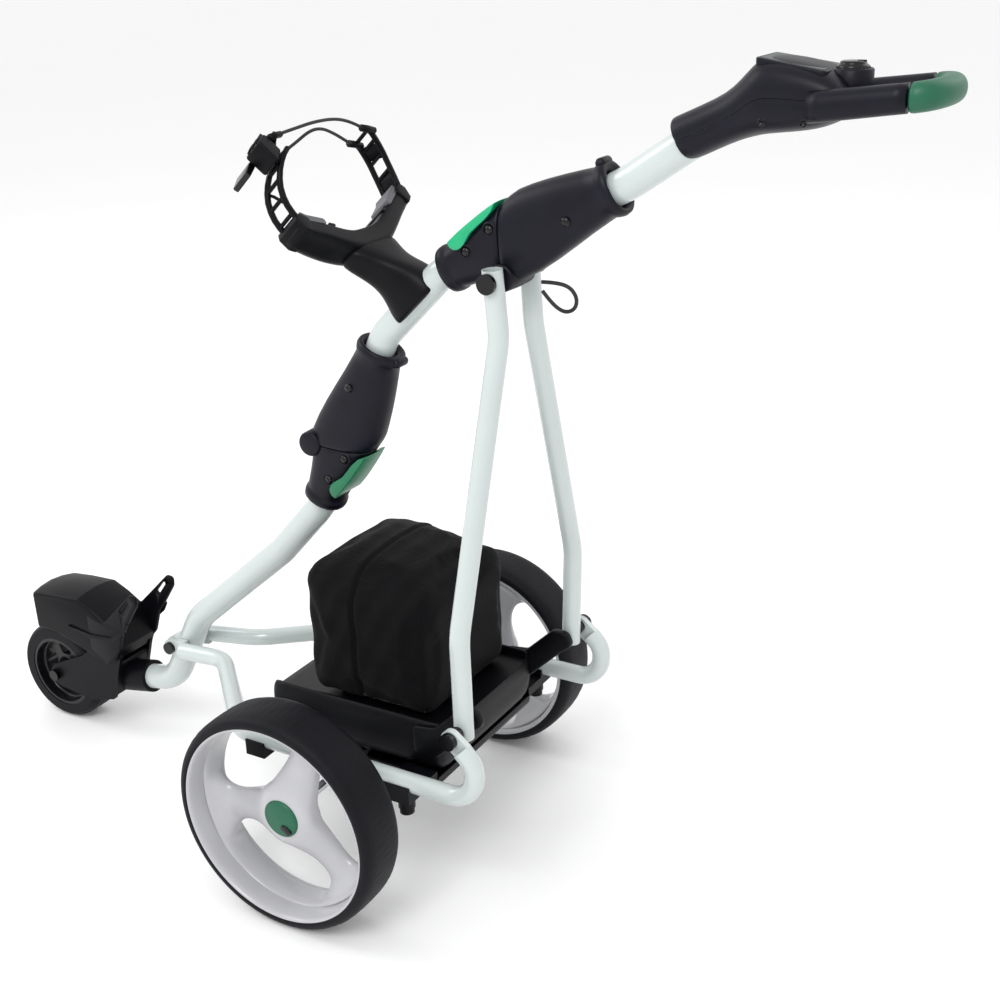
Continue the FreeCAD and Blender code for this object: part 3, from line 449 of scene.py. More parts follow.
CAP_RINGS = [
    (93, -28, 22, 17, -0.431, 2.5), (92, -41.8, 40, 27.4, -0.431, 2.7),
    (92.8, -43.2, 42, 28.7, -0.431, 2.7), (98, -44.4, 45, 29.0, -0.42, 2.7),
    (108, -46.2, 47.5, 29.0, -0.35, 2.6), (124, -47.4, 46.5, 28.8, -0.22, 2.5),
    (145, -46.2, 43.0, 28.4, -0.1, 2.4), (170, -43.2, 38.0, 27.8, -0.04, 2.35),
    (195, -39.0, 33.0, 27.0, 0.0, 2.3), (218, -34.2, 29.4, 26.4, 0.0, 2.2),
    (231, -31.0, 27.6, 26.2, 0.0, 2.2), (235, -32.8, 29.4, 27.6, 0.0, 2.2),
    (241, -34.0, 30.6, 28.6, 0.0, 2.2), (246, -32.6, 29.4, 27.8, 0.0, 2.2),
    (248, -29.5, 27.2, 25.8, 0.0, 2.1), (246, -23, 23, 22.5, 0.0, 2.0), (238, -19.3, 19.3, 19.3, 0.0, 2.0),
]


def shell_rings(joint, table, count=56):
    rings = []
    for along, low, high, half, shear, power in table:
        middle, reach = (low + high) / 2, (high - low) / 2
        ring = []
        for _, c, s in turns(count):
            across = middle + superellipse(c, power) * reach
            y = superellipse(s, power) * half
            ring.append(joint.at(along + shear * across, across, y))
        rings.append(ring)
    return rings


def joint_shells(joint, name, socket_body, cap_body):
    socket = loft("piece_%s_socket" % name, shell_rings(joint, SOCKET_RINGS), ends=False)
    boss_centre = joint.at(76, 35)
    boss = lathe("boss", [
        (0.001, -28.8), (14.0, -28.8), (15.6, -28.2), (16.6, -26.5), (17.4, 0), (16.6, 26.5), (15.6, 28.2),
        (14.0, 28.8), (0.001, 28.8),
    ], boss_centre, 48)
    recess_rims = []
    for along, across in ((48, -9), (89, -20)):
        for outward in (1, -1):
            centre = joint.at(along, across, outward * 27.0)
            recess_rims.append(lathe("rim", [
                (7.0, 0.2 * outward), (7.6, 1.9 * outward), (8.6, 1.4 * outward), (9.6, 0.0),
            ], centre, 32))
    socket = join("piece_%s_joint_socket" % name, [socket, boss] + recess_rims)
    finish_piece(socket, socket_body, JOINT)
    cap = loft("piece_%s_cap" % name, shell_rings(joint, CAP_RINGS), ends=False)
    nub = lathe("nub", [(0.001, -13), (4.5, -12), (6.0, -9), (6.0, 9), (4.5, 12), (0.001, 13)],
                joint.at(242, -32), 24)
    cap = join("piece_%s_joint_cap" % name, [cap, nub])
    finish_piece(cap, cap_body, JOINT)


joint_shells(LOWER, "lower", "lower_frame", "mid_frame")
joint_shells(UPPER, "upper", "mid_frame", "handle")


def joint_bolts():
    spots = {
        "lower_frame": ([LOWER.at(48, -9), LOWER.at(89, -20)], "lower_joint_bolts"),
        "mid_frame": ([UPPER.at(48, -9), UPPER.at(89, -20), LOWER.at(184, 9)], "mid_joint_bolts"),
        "handle": ([UPPER.at(184, 9)], "handle_joint_bolt"),
    }
    for body, (centres, node_name) in spots.items():
        heads = []
        for x, _, z in centres:
            for outward in (1, -1):
                profile = [(0.001, 3.4), (2.2, 3.2), (4.2, 2.4), (5.4, 1.0), (5.6, -1.0)]
                heads.append(lathe("head", [(r, y * outward) for r, y in profile],
                                   (x, outward * 27.4, z), 28))
        finish_piece(join("piece_%s" % node_name, heads), body, KNOB)


joint_bolts()

# leaf-shaped levers set into the edge away from the hinge: (along, across) of the visible side outline
LEVER_OUTLINE = [
    (29, -28.4), (29.5, -22), (33, -17.5), (38, -15.4), (44, -15.6), (50, -18), (56, -22), (64, -26.5),
    (75, -29.5), (88, -32.5), (100, -37.5), (107.5, -44.6), (96, -43.4), (80, -40.6), (60, -36.6),
    (44, -32.8),
]


def latch_lever(joint, name, body, material):
    rows = []
    steps = [-1.0, -0.96, -0.8, -0.4, 0.0, 0.4, 0.8, 0.96, 1.0]
    for f in steps:
        ring = []
        for along, across in LEVER_OUTLINE:
            # follow the rounded side of the shell, standing half a millimetre proud
            edge = min(1.0, max(0.0, (-14.0 - across) / 36.0))
            half = 29.3 - 7.5 * edge ** 2.4
            middle_pull = (1 - abs(f) ** 2.2) * 1.2
            ring.append(joint.at(along, across - (middle_pull if across < -30 else 0), f * half))
        rows.append(ring)
    lever = loft("piece_%s_latch_lever" % name, rows, ends=True)
    bevel(lever, 1.0, 2, 35)
    finish_piece(lever, body, material)


latch_lever(LOWER, "lower", "lower_latch", SHADED_LEVER)
latch_lever(UPPER, "upper", "upper_latch", LEVER)


# ------------------------------------------------------------------ cord loop under the upper joint

LOOP_ROUTE = [
    (-252, 5, 795), (-268, 5, 796), (-287, 4, 793), (-296, 2, 780), (-291, -2, 765), (-276, -4, 759),
    (-259, -5, 768), (-247, -5, 782),
]
loop = curve_piece("piece_cord_loop", LOOP_ROUTE, 2.3, "handle", CORD, ("cord_loop",))


# ------------------------------------------------------------------ rear wheels

AXLE = (-12.0, 0.0, 150.0)
SPOKE_TURN = math.radians(13)
TREAD_CUTS = 24
TREAD_DEPTH = 0.7


def rear_tyre(name, sign):
    profile = [
        (134.9, 219.5), (138, 219.2), (142.5, 220.5), (146.2, 224.0), (148.6, 229.5), (149.5, 236.0),
        (149.9, 246.0), (150.0, 255.0), (149.9, 264.0), (149.5, 274.0), (148.6, 280.5), (146.4, 286.0),
        (143.0, 289.2), (139.0, 290.4), (135.6, 290.2), (134.9, 289.4),
    ]
    count = 360
    points = []
    for angle, c, s in turns(count):
        for radius, y in profile:
            depth = 0.0
            if radius > 147:
                wave = math.sin(TREAD_CUTS * angle + (y - 255.0) * 0.16)
                depth = TREAD_DEPTH * max(0.0, (wave - 0.86) / 0.14)
            points.append((AXLE[0] + (radius - depth) * c, sign * y, AXLE[2] + (radius - depth) * s))
    ring = len(profile)
    faces = []
    for k in range(count):
        following = (k + 1) % count
        for j in range(ring):
            j2 = (j + 1) % ring
            faces.append((k * ring + j, k * ring + j2, following * ring + j2, following * ring + j))
    tyre = mesh_object("piece_%s_tyre" % name, points, faces)
    finish_piece(tyre, "%s_wheel" % name, TYRE)


def hub_spokes(sign):
    """Cage of a three-spoke disc, smoothed afterwards: windows are missing cells."""
    stations = [
        (7.0, 0, 267.2, 246), (27.0, 0, 267.6, 243), (46.0, 38.0, 263.0, 236), (64.0, 26.0, 256.0, 231),
        (86.0, 22.0, 252.5, 230), (106.0, 27.0, 252.5, 230), (118.0, 42.0, 255.5, 229),
        (126.0, 56.0, 259.5, 226), (136.0, 62.0, 270.0, 222),
    ]
    lines = []
    for radius, half, front, back in stations:
        angles = []
        if half:
            opening = math.asin(min(0.97, half / radius))
        else:
            opening = math.radians(30)
        opening = min(opening, math.radians(50))
        for spoke in range(3):
            middle = spoke * 2 * math.pi / 3 - SPOKE_TURN
            angles += [middle - opening, middle, middle + opening]
            room = 2 * math.pi / 3 - 2 * opening
            angles += [middle + opening + room * f for f in (0.25, 0.5, 0.75)]
        lines.append(angles)
    around = len(lines[0])
    points = []
    for layer in range(2):
        for (radius, half, front, back), angles in zip(stations, lines):
            for j, angle in enumerate(angles):
                kind = j % 6
                y = front if layer == 0 else back
                if layer == 0 and kind in (0, 2) and 50 < radius < 112:
                    y -= 9.0
                points.append((AXLE[0] + radius * math.cos(angle), sign * y,
                               AXLE[2] + radius * math.sin(angle)))
    size = len(stations) * around
    last = len(stations) - 2

    def filled(i, j):
        return i in (0, 1, last) or j % 6 in (0, 1)

    faces = []
    for i in range(len(stations) - 1):
        for j in range(around):
            if not filled(i, j):
                continue
            j2 = (j + 1) % around
            a, b = i * around + j, i * around + j2
            c, d = (i + 1) * around + j2, (i + 1) * around + j
            faces.append((a, b, c, d))
            faces.append((size + d, size + c, size + b, size + a))
            if i == 0 or not filled(i - 1, j):
                faces.append((b, a, size + a, size + b))
            if i == last or not filled(i + 1, j):
                faces.append((d, c, size + c, size + d))
            if not filled(i, j - 1 if j else around - 1):
                faces.append((a, d, size + d, size + a))
            if not filled(i, j2):
                faces.append((c, b, size + b, size + c))
    disc = mesh_object("spokes", points, faces)
    subdivide(disc, 3)
    return disc


def rear_hub(name, sign):
    spokes = hub_spokes(sign)
    barrel_profile = [
        (134.8, 219.6), (131.5, 219.2), (129.6, 220.4), (128.8, 223), (128.6, 232), (128.6, 268),
        (129.4, 281), (131.0, 287.2), (132.6, 289.4), (134.0, 290.2), (134.8, 289.6),
    ]
    barrel = lathe("barrel", [(r, sign * y) for r, y in barrel_profile], AXLE, 128)
    collar = lathe("collar", [(r, sign * y) for r, y in ((6.2, 223), (17, 223), (19, 225), (19, 240),
                                                         (27, 247))],
                   AXLE, 48)
    hub = join("piece_%s_hub" % name, [spokes, barrel, collar])
    finish_piece(hub, "%s_wheel" % name, SILVER)


def hub_cap(name, sign):
    body = "%s_wheel" % name
    profile = [(0.001, 272.4), (16, 271.8), (22.5, 270.4), (25.2, 268.4), (25.8, 264.0)]
    cap = lathe("piece_%s_hub_cap" % name, [(r, sign * y) for r, y in profile], AXLE, 64)
    finish_piece(cap, body, GREEN)
    outline = rounded([(-19.5, -14, 3), (-12, -18.5, 3), (-1.5, -11, 3), (-4, -4.5, 3), (-12, -5.5, 3)], 4)
    low, high = sorted((sign * 269.0, sign * 273.4))
    catch = slab("piece_%s_release_catch" % name, [(AXLE[0] + a, AXLE[2] + b) for a, b in outline],
                 side_plane,
                 low, high, 0.8, 2)
    finish_piece(catch, "%s_catch" % name, KNOB)


for wheel_name, wheel_sign in (("left", 1), ("right", -1)):
    rear_tyre(wheel_name, wheel_sign)
    rear_hub(wheel_name, wheel_sign)
    hub_cap(wheel_name, wheel_sign)


# ------------------------------------------------------------------ housing

TRAY_UNDERSIDE = 166.3
TRAY_RIM = 240.8
TUBE_GROOVE = 22.5
# half section of the tray: share of the half width, height
TRAY_SECTION = [
    (0.0, 166.3), (0.78, 166.3), (0.9, 170.3), (0.965, 179), (0.995, 192), (1.0, 205), (0.998, 218),
    (0.988, 230), (0.968, 237.4), (0.942, 240.8), (0.918, 240.6), (0.911, 236.5), (0.909, 228.4),
    (0.0, 228.0),
]
# x, underside, half width, drop of the rim
TRAY_STATIONS = [
    (-157.0, 200, 108, 6), (-156.4, 186, 114, 3), (-154, 176, 117, 1), (-149, 170, 119, 0),
    (-130, 167, 120, 0), (-90, 166.3, 120, 0), (-40, 166.3, 120, 0.5), (10, 166.3, 120, 1.0),
    (60, 166.3, 120, 1.0), (90, 168, 119.5, 1.5), (104, 173, 118, 2.5), (112, 180, 115, 5),
    (116.5, 189, 110, 9), (118, 200, 102, 14),
]


def tray():
    """Open tray under the battery, grooved for the folded lower tube, with a lug on each side."""
    rings = []
    for x, bottom, half, drop in TRAY_STATIONS:
        scale = (TRAY_RIM - drop - bottom) / (TRAY_RIM - TRAY_UNDERSIDE)
        side = [(share * half, bottom + (height - TRAY_UNDERSIDE) * scale) for share,
                height in TRAY_SECTION]
        ring = [(x, y, z) for y, z in side]
        ring += [(x, -y, z) for y, z in reversed(side) if y > 0]
        rings.append(ring)
    shell = loft("tray", rings)
    groove_route = [(340, 196), (102, 222), (-8, 247), (-60, 268)]
    groove = []
    for x, z in groove_route:
        groove.append(oval((x, 0, z), (0, 1, 0), (0.12, 0, 1), TUBE_GROOVE, TUBE_GROOVE, 2, 32))
    cut_out(shell, loft("groove", groove))
    bevel(shell, 1.2, 2, 50)
    lugs = []
    for sign in (1, -1):
        low, high = sorted((sign * 112.0, sign * 124.0))
        lugs.append(slab("lug", rounded([
            (-150, 196, 8), (-204, 248, 10), (-222, 262, 9), (-214, 280, 10), (-192, 280, 12),
            (-150, 240, 12), (-118, 236, 6), (-118, 196, 8),
        ], 5), side_plane, low, high, 3.0, 3))
    finish_piece(join("piece_chassis_housing", [shell] + lugs), "base", BLACK)


tray()


# ------------------------------------------------------------------ hood over the front wheel

HOOD_HALF = 43
# x, z and whether the edge rises towards the middle
HOOD_OUTLINE = [
    (650.5, 163.5, 0), (652, 222, 1), (640, 225.5, 1), (600, 229.5, 1), (552, 231.5, 1), (524, 219, 1),
    (501, 205, 1), (487, 186, 1), (478, 160, 0), (486, 140, 0), (505, 130, 0), (565, 149, 0),
    (609, 162.5, 0),
]


def hood():
    """Crowned cover over the front wheel, with a slotted horn and a raised line on each side."""
    rings = []
    for y in (-43, -42.2, -40, -34, -22, 0, 22, 34, 40, 42.2, 43):
        edge = 1.0 - abs(y) / HOOD_HALF
        inset = 2.6 * (1 - min(1.0, edge / 0.07)) ** 2
        ring = []
        for x, z, crowned in HOOD_OUTLINE:
            lift = (6.5 * (1 - (y / HOOD_HALF) ** 2) - 1.5) if crowned else 0.0
            bow = -3.0 * (y / HOOD_HALF) ** 2 if x > 645 else 0.0
            ring.append((x + bow - math.copysign(inset, x - 565), y,
                         z + lift - math.copysign(inset, z - 180)))
        rings.append(ring)
    shell = loft("hood", rings)
    bevel(shell, 4.5, 4, 25)
    horns = []
    for sign in (1, -1):
        low, high = sorted((sign * 37.0, sign * 43.2))
        horn = slab("horn", rounded([
            (535, 214, 6), (503, 201, 14), (466, 236, 40), (438, 263, 6), (425, 262, 6), (426, 247, 10),
            (447, 216, 30), (462, 196, 30), (474, 160, 20), (500, 132, 6), (535, 150, 6),
        ], 6), side_plane, low, high, 2.2, 3)
        slot = slab("slot", rounded([
            (439, 250, 2.6), (445, 252.5, 2.6), (464, 230, 2.6), (458, 226, 2.6),
        ], 4), side_plane, low - 5, high + 5, 0)
        cut_out(horn, slot)
        horns.append(horn)
        ridge_low, ridge_high = sorted((sign * 42.0, sign * 44.6))
        horns.append(slab("ridge", rounded([
            (452, 214, 2), (462, 199, 8), (486, 182, 20), (530, 178, 30), (575, 186, 3), (575, 182, 3),
            (530, 171, 30), (482, 174, 20), (456, 197, 8), (448, 212, 2),
        ], 5), side_plane, ridge_low, ridge_high, 1.2, 2))
    finish_piece(join("piece_bag_rest", [shell] + horns), "lower_frame", BLACK)


hood()


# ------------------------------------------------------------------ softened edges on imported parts

def soften(width, *names):
    """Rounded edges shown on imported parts; their own meshes stay as they are."""
    for name in names:
        weld = nodes[name].modifiers.new("weld", "WELD")
        weld.merge_threshold = 0.00002
        edges = nodes[name].modifiers.new("edges", "BEVEL")
        edges.width = width * MM
        edges.segments = 3
        edges.limit_method = "ANGLE"
        edges.angle_limit = math.radians(40)
        edges.use_clamp_overlap = True


# ------------------------------------------------------------------ handle

# upper edge point, lower edge point, half width, corner power
HANDLE_RINGS = [
    ((-411, 983), (-430, 944.5), 23.6, 2.2), ((-412.5, 985), (-433, 943), 25.2, 2.25),
    ((-416, 986.8), (-437.5, 942.6), 26, 2.3), ((-445, 999.5), (-462, 954.5), 27.5, 2.4),
    ((-473, 1012.5), (-487, 965.5), 31.5, 2.5), ((-490, 1028), (-503, 970), 36, 2.6),
    ((-503, 1042), (-513, 972.5), 40, 2.8), ((-512, 1048), (-521, 974), 42.5, 3.0),
    ((-524, 1049.8), (-532, 975.5), 44, 3.2), ((-545, 1047.4), (-548, 977.5), 45.5, 3.3),
    ((-562, 1044.0), (-563, 979.5), 46.6, 3.2), ((-578, 1040.6), (-579, 983), 47.0, 3.0),
    ((-590, 1036.0), (-590, 988), 46.4, 2.8), ((-599, 1030.0), (-599, 993), 44.5, 2.6),
    ((-604, 1023), (-604, 998), 40.0, 2.4), ((-605.5, 1015), (-605.5, 1004), 30.0, 2.2),
]


def handle_shells():
    count = 64
    for name, upper in (("upper", True), ("lower", False)):
        rings = []
        for top, bottom, half, power in HANDLE_RINGS:
            middle = ((top[0] + bottom[0]) / 2, (top[1] + bottom[1]) / 2)
            ring = []
            for k in range(count // 2 + 1):
                angle = math.pi * k / (count // 2) + (0.0 if upper else math.pi)
                c, s = math.cos(angle), math.sin(angle)
                wide = superellipse(c, power)
                high = superellipse(s, power)
                inset = 1.0 if k in (0, count // 2) else 0.0
                y = wide * (half - inset)
                part = 0.006 if upper else -0.006
                high = high if k not in (0, count // 2) else part
                ring.append((middle[0] + (top[0] - middle[0]) * high, y,
                             middle[1] + (top[1] - middle[1]) * high))
            rings.append(ring)
        points = [point for ring in rings for point in ring]
        size = count // 2 + 1
        faces = []
        for i in range(len(rings) - 1):
            for j in range(size - 1):
                faces.append((i * size + j, i * size + j + 1, (i + 1) * size + j + 1, (i + 1) * size + j))
        faces.append(tuple(range(size)))
        faces.append(tuple((len(rings) - 1) * size + j for j in range(size)))
        shell = mesh_object("piece_handle_%s" % name, points, faces)
        subdivide(shell, 1)
        if upper:
            frame_top = slab("bezel", rounded([
                (-509, 30, 5), (-509, -30, 5), (-584, -36, 6), (-584, 36, 6),
            ], 5), lambda a, b, h: (a, b, 1048.6 + (a + 516) * 0.155 + h), -10, 0.2, 1.6, 3)
            collar = lathe("collar", [
                (20.5, 1022), (20.5, 1037.5), (19.5, 1038.6), (17.5, 1038.8),
            ], (-599, 0, 0), 48, "Z")
            shell = join("piece_handle_upper", [shell, frame_top, collar])
            finish_piece(shell, "handle", JOINT, ("handle_upper_shell",))
            window = slab("piece_display_window",
                          rounded([(-513, 26, 4), (-513, -26, 4), (-579, -31, 4), (-579, 31, 4)], 5),
                          lambda a, b, h: (a, b, 1048.6 + (a + 516) * 0.155 + h), -2, 0.7, 0.4, 2)
            finish_piece(window, "handle", PANEL, smooth=False)
        else:
            finish_piece(shell, "handle", JOINT, ("handle_lower_shell",))


def grip_path():
    """Centre line of the grip along its U, from the near arm round to the far arm."""
    stations = []
    for x in (-572, -584, -596, -608, -622, -640, -655, -667):
        stations.append(Vector((x, 45.5, 0)))
    for k in range(1, 24):
        angle = math.pi * k / 24
        stations.append(Vector((-669 - 24.5 * math.sin(angle) ** 0.75, 45.5 * math.cos(angle), 0)))
    for x in (-667, -655, -640, -622, -608, -596, -584, -572):
        stations.append(Vector((x, -45.5, 0)))
    for spot in stations:
        spot.z = 1006.0 + (-575 - spot.x) * 0.125
    return stations


def grips():
    stations = grip_path()
    rings = []
    for i, spot in enumerate(stations):
        ahead = stations[min(i + 1, len(stations) - 1)] - stations[max(i - 1, 0)]
        side = Vector((0, 0, 1)).cross(ahead).normalized()
        away = (-575 - spot.x) / 118
        half_high = 15.5 - 1.5 * min(1.0, max(0.0, away))
        half_wide = 13.2
        rings.append(oval(spot, side, Vector((0, 0, 1)), half_wide, half_high, 2.2, 32))
    first = next(i for i, spot in enumerate(stations) if spot.x < -666)
    last = len(stations) - 1 - first
    near = loft("near", rings[:first + 1], ends=True)
    far = loft("far", rings[last:], ends=True)
    arms = join("piece_handle_arms", [near, far])
    finish_piece(arms, "handle", JOINT)
    end_rings = [[tuple(Vector(point) + (Vector(rings[i][j]) - stations[i]).normalized() * 0.35)
                  for j, point in enumerate(rings[i])] for i in range(first, last + 1)]
    end = loft("piece_grip_end", end_rings, ends=True)
    subdivide(end, 1)
    finish_piece(end, "handle", GREEN)


def dial():
    profile = [
        (0.001, 1046.0), (10.5, 1045.8), (12.6, 1045.0), (13.0, 1043.5), (13.6, 1042.6), (15.2, 1041.8),
        (15.8, 1040.4), (16.2, 1030.0), (16.2, 1024.0),
    ]
    knob = lathe("knob", profile, (-599, 0, 0), 64, "Z")
    ribs = []
    for _, c, s in turns(24):
        ends = ((16.0, 1026), (15.7, 1040.5))
        ribs.append(loft("rib", [oval((-599 + out * c, out * s, z), (1, 0, 0), (0, 1, 0), 0.8, 0.8, 2, 8)
                                 for out, z in ends]))
    pointer = slab("pointer", rounded([(-612, -1.6, 1), (-612, 1.6, 1), (-603, 1.6, 1), (-603, -1.6, 1)],
                                      3),
                   lambda a, b, h: (a, b, h), 1044.6, 1046.6, 0.4, 2)
    finish_piece(join("piece_speed_dial", [knob, pointer] + ribs), "dial", KNOB)


def handle_screws():
    recesses = []
    for x, z, y in ((-522, 989, 40.6), (-566, 990, 43.4)):
        for outward in (1, -1):
            recesses.append(lathe("recess", [
                (4.4, (-0.8) * outward), (4.2, 0.4 * outward), (3.4, 0.5 * outward), (3.0, -1.4 * outward),
                (0.001, -1.4 * outward),
            ], (x, outward * y, z), 24))
    finish_piece(join("piece_handle_screws", recesses), "handle", KNOB)


handle_shells()
grips()
dial()
handle_screws()


# ------------------------------------------------------------------ bag cradle

CRADLE_TILT = math.radians(44)
CRADLE_COS, CRADLE_SIN = math.cos(CRADLE_TILT), math.sin(CRADLE_TILT)


def cradle_at(u, y, v):
    return (-78 + u * CRADLE_COS + v * CRADLE_SIN, y, 753 - u * CRADLE_SIN + v * CRADLE_COS)


# y, v and u of the middle line of one arm, half thickness across it, half width along u
ARM_STATIONS = [
    (0, 100, 13, 17, 22), (14, 100, 13, 17, 22), (30, 102, 12.5, 16.5, 22.5), (46, 109, 12, 15.5, 23),
    (60, 116, 11, 15, 23.5), (72, 122, 9.5, 14.2, 23), (84, 127.5, 8, 13.4, 22),
    (94, 131.5, 6, 12.8, 20.5), (101, 135, 5, 12.0, 19.5), (105.5, 138.5, 4, 11.0, 18.5),
    (107.5, 141, 4, 8.5, 16.5),
]
# v, middle u, half width along u, half width along y
FOOT_STATIONS = [
    (-7, -3, 35, 26), (-5, -3, 39, 27.2), (4, -3, 39.5, 27.5), (18, -4, 37, 27), (32, -3, 32, 26),
    (46, 1, 28, 27), (58, 5, 25.5, 31), (72, 9, 24.0, 38), (86, 12, 23, 46), (98, 13, 19, 46),
]


def cradle_arms():
    path = [(-s[0],) + s[1:] for s in reversed(ARM_STATIONS[1:])] + ARM_STATIONS
    rings = []
    for i, (y, v, u, thick, half) in enumerate(path):
        before, after = path[max(0, i - 1)], path[min(len(path) - 1, i + 1)]
        run = Vector((0, after[0] - before[0], after[1] - before[1])).normalized()
        normal = Vector((0, -run.z, run.y))
        ring = []
        for _, c, s in turns(36):
            a = superellipse(c, 3.4) * half
            b = superellipse(s, 3.4) * thick
            # the bag side is dished along the arm
            if b > 0:
                b -= 3.0 * (1 - (a / half) ** 2)
            spot = Vector((u + a, y, v)) + normal * b
            ring.append(cradle_at(spot.x, spot.y, spot.z))
        rings.append(ring)
    arms = loft("arms", rings)
    subdivide(arms, 1)
    foot_rings = []
    for v, u, half_u, half_y in FOOT_STATIONS:
        ring = []
        for _, c, s in turns(36):
            ring.append(cradle_at(u + superellipse(c, 3.0) * half_u,
                                  superellipse(s, 3.0) * half_y, v))
        foot_rings.append(ring)
    foot = loft("foot", foot_rings)
    subdivide(foot, 1)
    seats = []
    for sign in (1, -1):
        seats.append(slab("seat", rounded([
            (sign * 92, 141, 2), (sign * 99, 149, 2), (sign * 108, 151, 3), (sign * 113, 143, 3),
            (sign * 110, 128, 3), (sign * 99, 121, 3),
        ], 4), lambda a, b, h: cradle_at(h, a, b), -17, 24, 2.2, 2))
        seats.append(slab("step", rounded([
            (sign * 44, 122, 2), (sign * 50, 127, 2), (sign * 58, 131, 2), (sign * 62, 126, 2),
        ], 4), lambda a, b, h: cradle_at(h, a, b), -10, 30, 2.0, 2))
    finish_piece(join("piece_bag_cradle", [arms, foot] + seats), "mid_frame", BLACK)


def cradle_pads():
    pads = []
    for sign in (1, -1):
        outline = rounded([
            (sign * 66, 128, 2), (sign * 92, 140, 3), (sign * 99, 150, 3), (sign * 96, 154, 3),
            (sign * 88, 147, 3), (sign * 65, 136, 3),
        ], 5)
        pads.append(slab("pad", outline, lambda a, b, h: cradle_at(h, a, b), -13, 22, 2.5, 3))
    finish_piece(join("piece_cradle_pads", pads), "mid_frame", PAD)


# u, y and v of the ladder's middle line, from the arm's end to the cord bar
LADDER_CURVE = [
    (2, 105, 144), (0, 108, 154), (-2, 109.5, 164), (-5, 109.5, 174), (-9, 108, 184), (-14, 105, 193),
    (-19, 100.5, 201), (-24, 95, 208), (-29, 88.5, 214), (-33, 81.5, 218),
]


def bar(name, stations, half_u, thick):
    """Flat bar following (u, y, v) stations."""
    rings = []
    for i, (u, y, v) in enumerate(stations):
        before, after = stations[max(0, i - 1)], stations[min(len(stations) - 1, i + 1)]
        run = Vector((after[0] - before[0], after[1] - before[1], after[2] - before[2])).normalized()
        side = Vector((1, 0, 0))
        if abs(run.x) > 0.8:
            side = Vector((0, -run.z, run.y)) if abs(run.y) + abs(run.z) > 0.2 else Vector((0, 1, 0))
        side = (side - run * side.dot(run)).normalized()
        normal = run.cross(side).normalized()
        rings.append([cradle_at(*point) for point in oval((u, y, v), side, normal, half_u, thick, 3.0, 16)])
    return loft(name, rings)


def ladders():
    frames = []
    for sign in (1, -1):
        curve = [(u, y * sign, v) for u, y, v in LADDER_CURVE]
        for step in (-14, 14):
            frames.append(bar("rail", [(u + step, y, v) for u, y, v in curve], 3.6, 3.2))
        for station in (1, 3, 5, 7, 9):
            u, y, v = curve[station]
            frames.append(bar("rung", [
                (u - 15, y, v), (u - 8, y, v), (u + 8, y, v), (u + 15, y, v),
            ], 2.8, 2.3))
        if sign < 0:
            for a, b in ((1, 3), (5, 7)):
                frames.append(bar("web", curve[a:b + 1], 14, 1.6))
            for step in (-15, 14):
                u, y, v = curve[-1]
                frames.append(bar("sleeve", [(u + step, y - 8, v - 5.0), (u + step, y + 2, v),
                                             (u + step, y + 13, v + 3.5)],
                                  4.0, 4.0))
        else:
            frames.append(bar("brace", [(-14, 108, 168), (-6, 106, 184), (2, 103, 194)], 1.8, 1.8))
    finish_piece(join("piece_cradle_ladders", frames), "mid_frame", BLACK)


def buckle():
    parts = [slab("block", rounded([(90, 219, 3), (108, 206, 3), (116, 236, 4), (96, 246, 4)], 5),
                  lambda a, b, h: cradle_at(h, a, b), -45, -15, 2.6, 3)]
    parts.append(bar("cord bar", [(-48, 84, 240), (-36, 81, 236), (-22, 76, 229), (-14, 72, 223)], 3.2,
                     3.2))
    for u, y, v in ((-44, 84, 239), (-17, 76, 226)):
        parts.append(bar("sleeve", [(u, y - 13, v + 0.5), (u, y - 4, v + 0.5), (u, y + 9, v - 0.5)], 3.6,
                         3.6))
    for u in (-40, -31, -22):
        parts.append(bar("ridge", [(u, 97, 246.5), (u, 106, 242), (u, 114, 237)], 1.6, 1.8))
    finish_piece(join("piece_buckle_block", parts), "mid_frame", BLACK)
    tab = slab("tab", rounded([(102, 229, 2), (111, 232, 3), (131, 219, 2), (127, 213, 2), (109, 223, 3)],
                              5),
               lambda a, b, h: cradle_at(h, a, b), -14, 16, 1.4, 2)
    finish_piece(tab, "buckle", KNOB, ("buckle_lever",))
    tab.name = "piece_buckle_lever"


cradle_arms()
cradle_pads()
ladders()
buckle()

# two elastic cords between the ladders, each with its own arch
BUNGEE_ROUTES = {
    "upper": [
    (-48, -76, 217), (-49, -68, 223), (-52, -48, 233), (-55, -22, 238), (-54, 14, 240), (-49, 46, 240),
    (-45, 76, 239.5),
], "lower": [
    (-19, -76, 217), (-22, -66, 221), (-32, -38, 232), (-42, -8, 237), (-42, 16, 237), (-30, 42, 231),
    (-18, 70, 226.5),
],
}


def bungees():
    for index, (name, route) in enumerate(BUNGEE_ROUTES.items()):
        hides = ("bungees",) if index == 0 else ()
        curve_piece("piece_bungee_%s" % name, [cradle_at(*point) for point in route], 2.0, "mid_frame",
                    CORD,
                    hides)


bungees()


# ------------------------------------------------------------------ battery bag

BAG_VOXEL = 0.005
BAG_PRESSURE = 4.0
BAG_FRAMES = 20
BAG_REACH = 0.0045


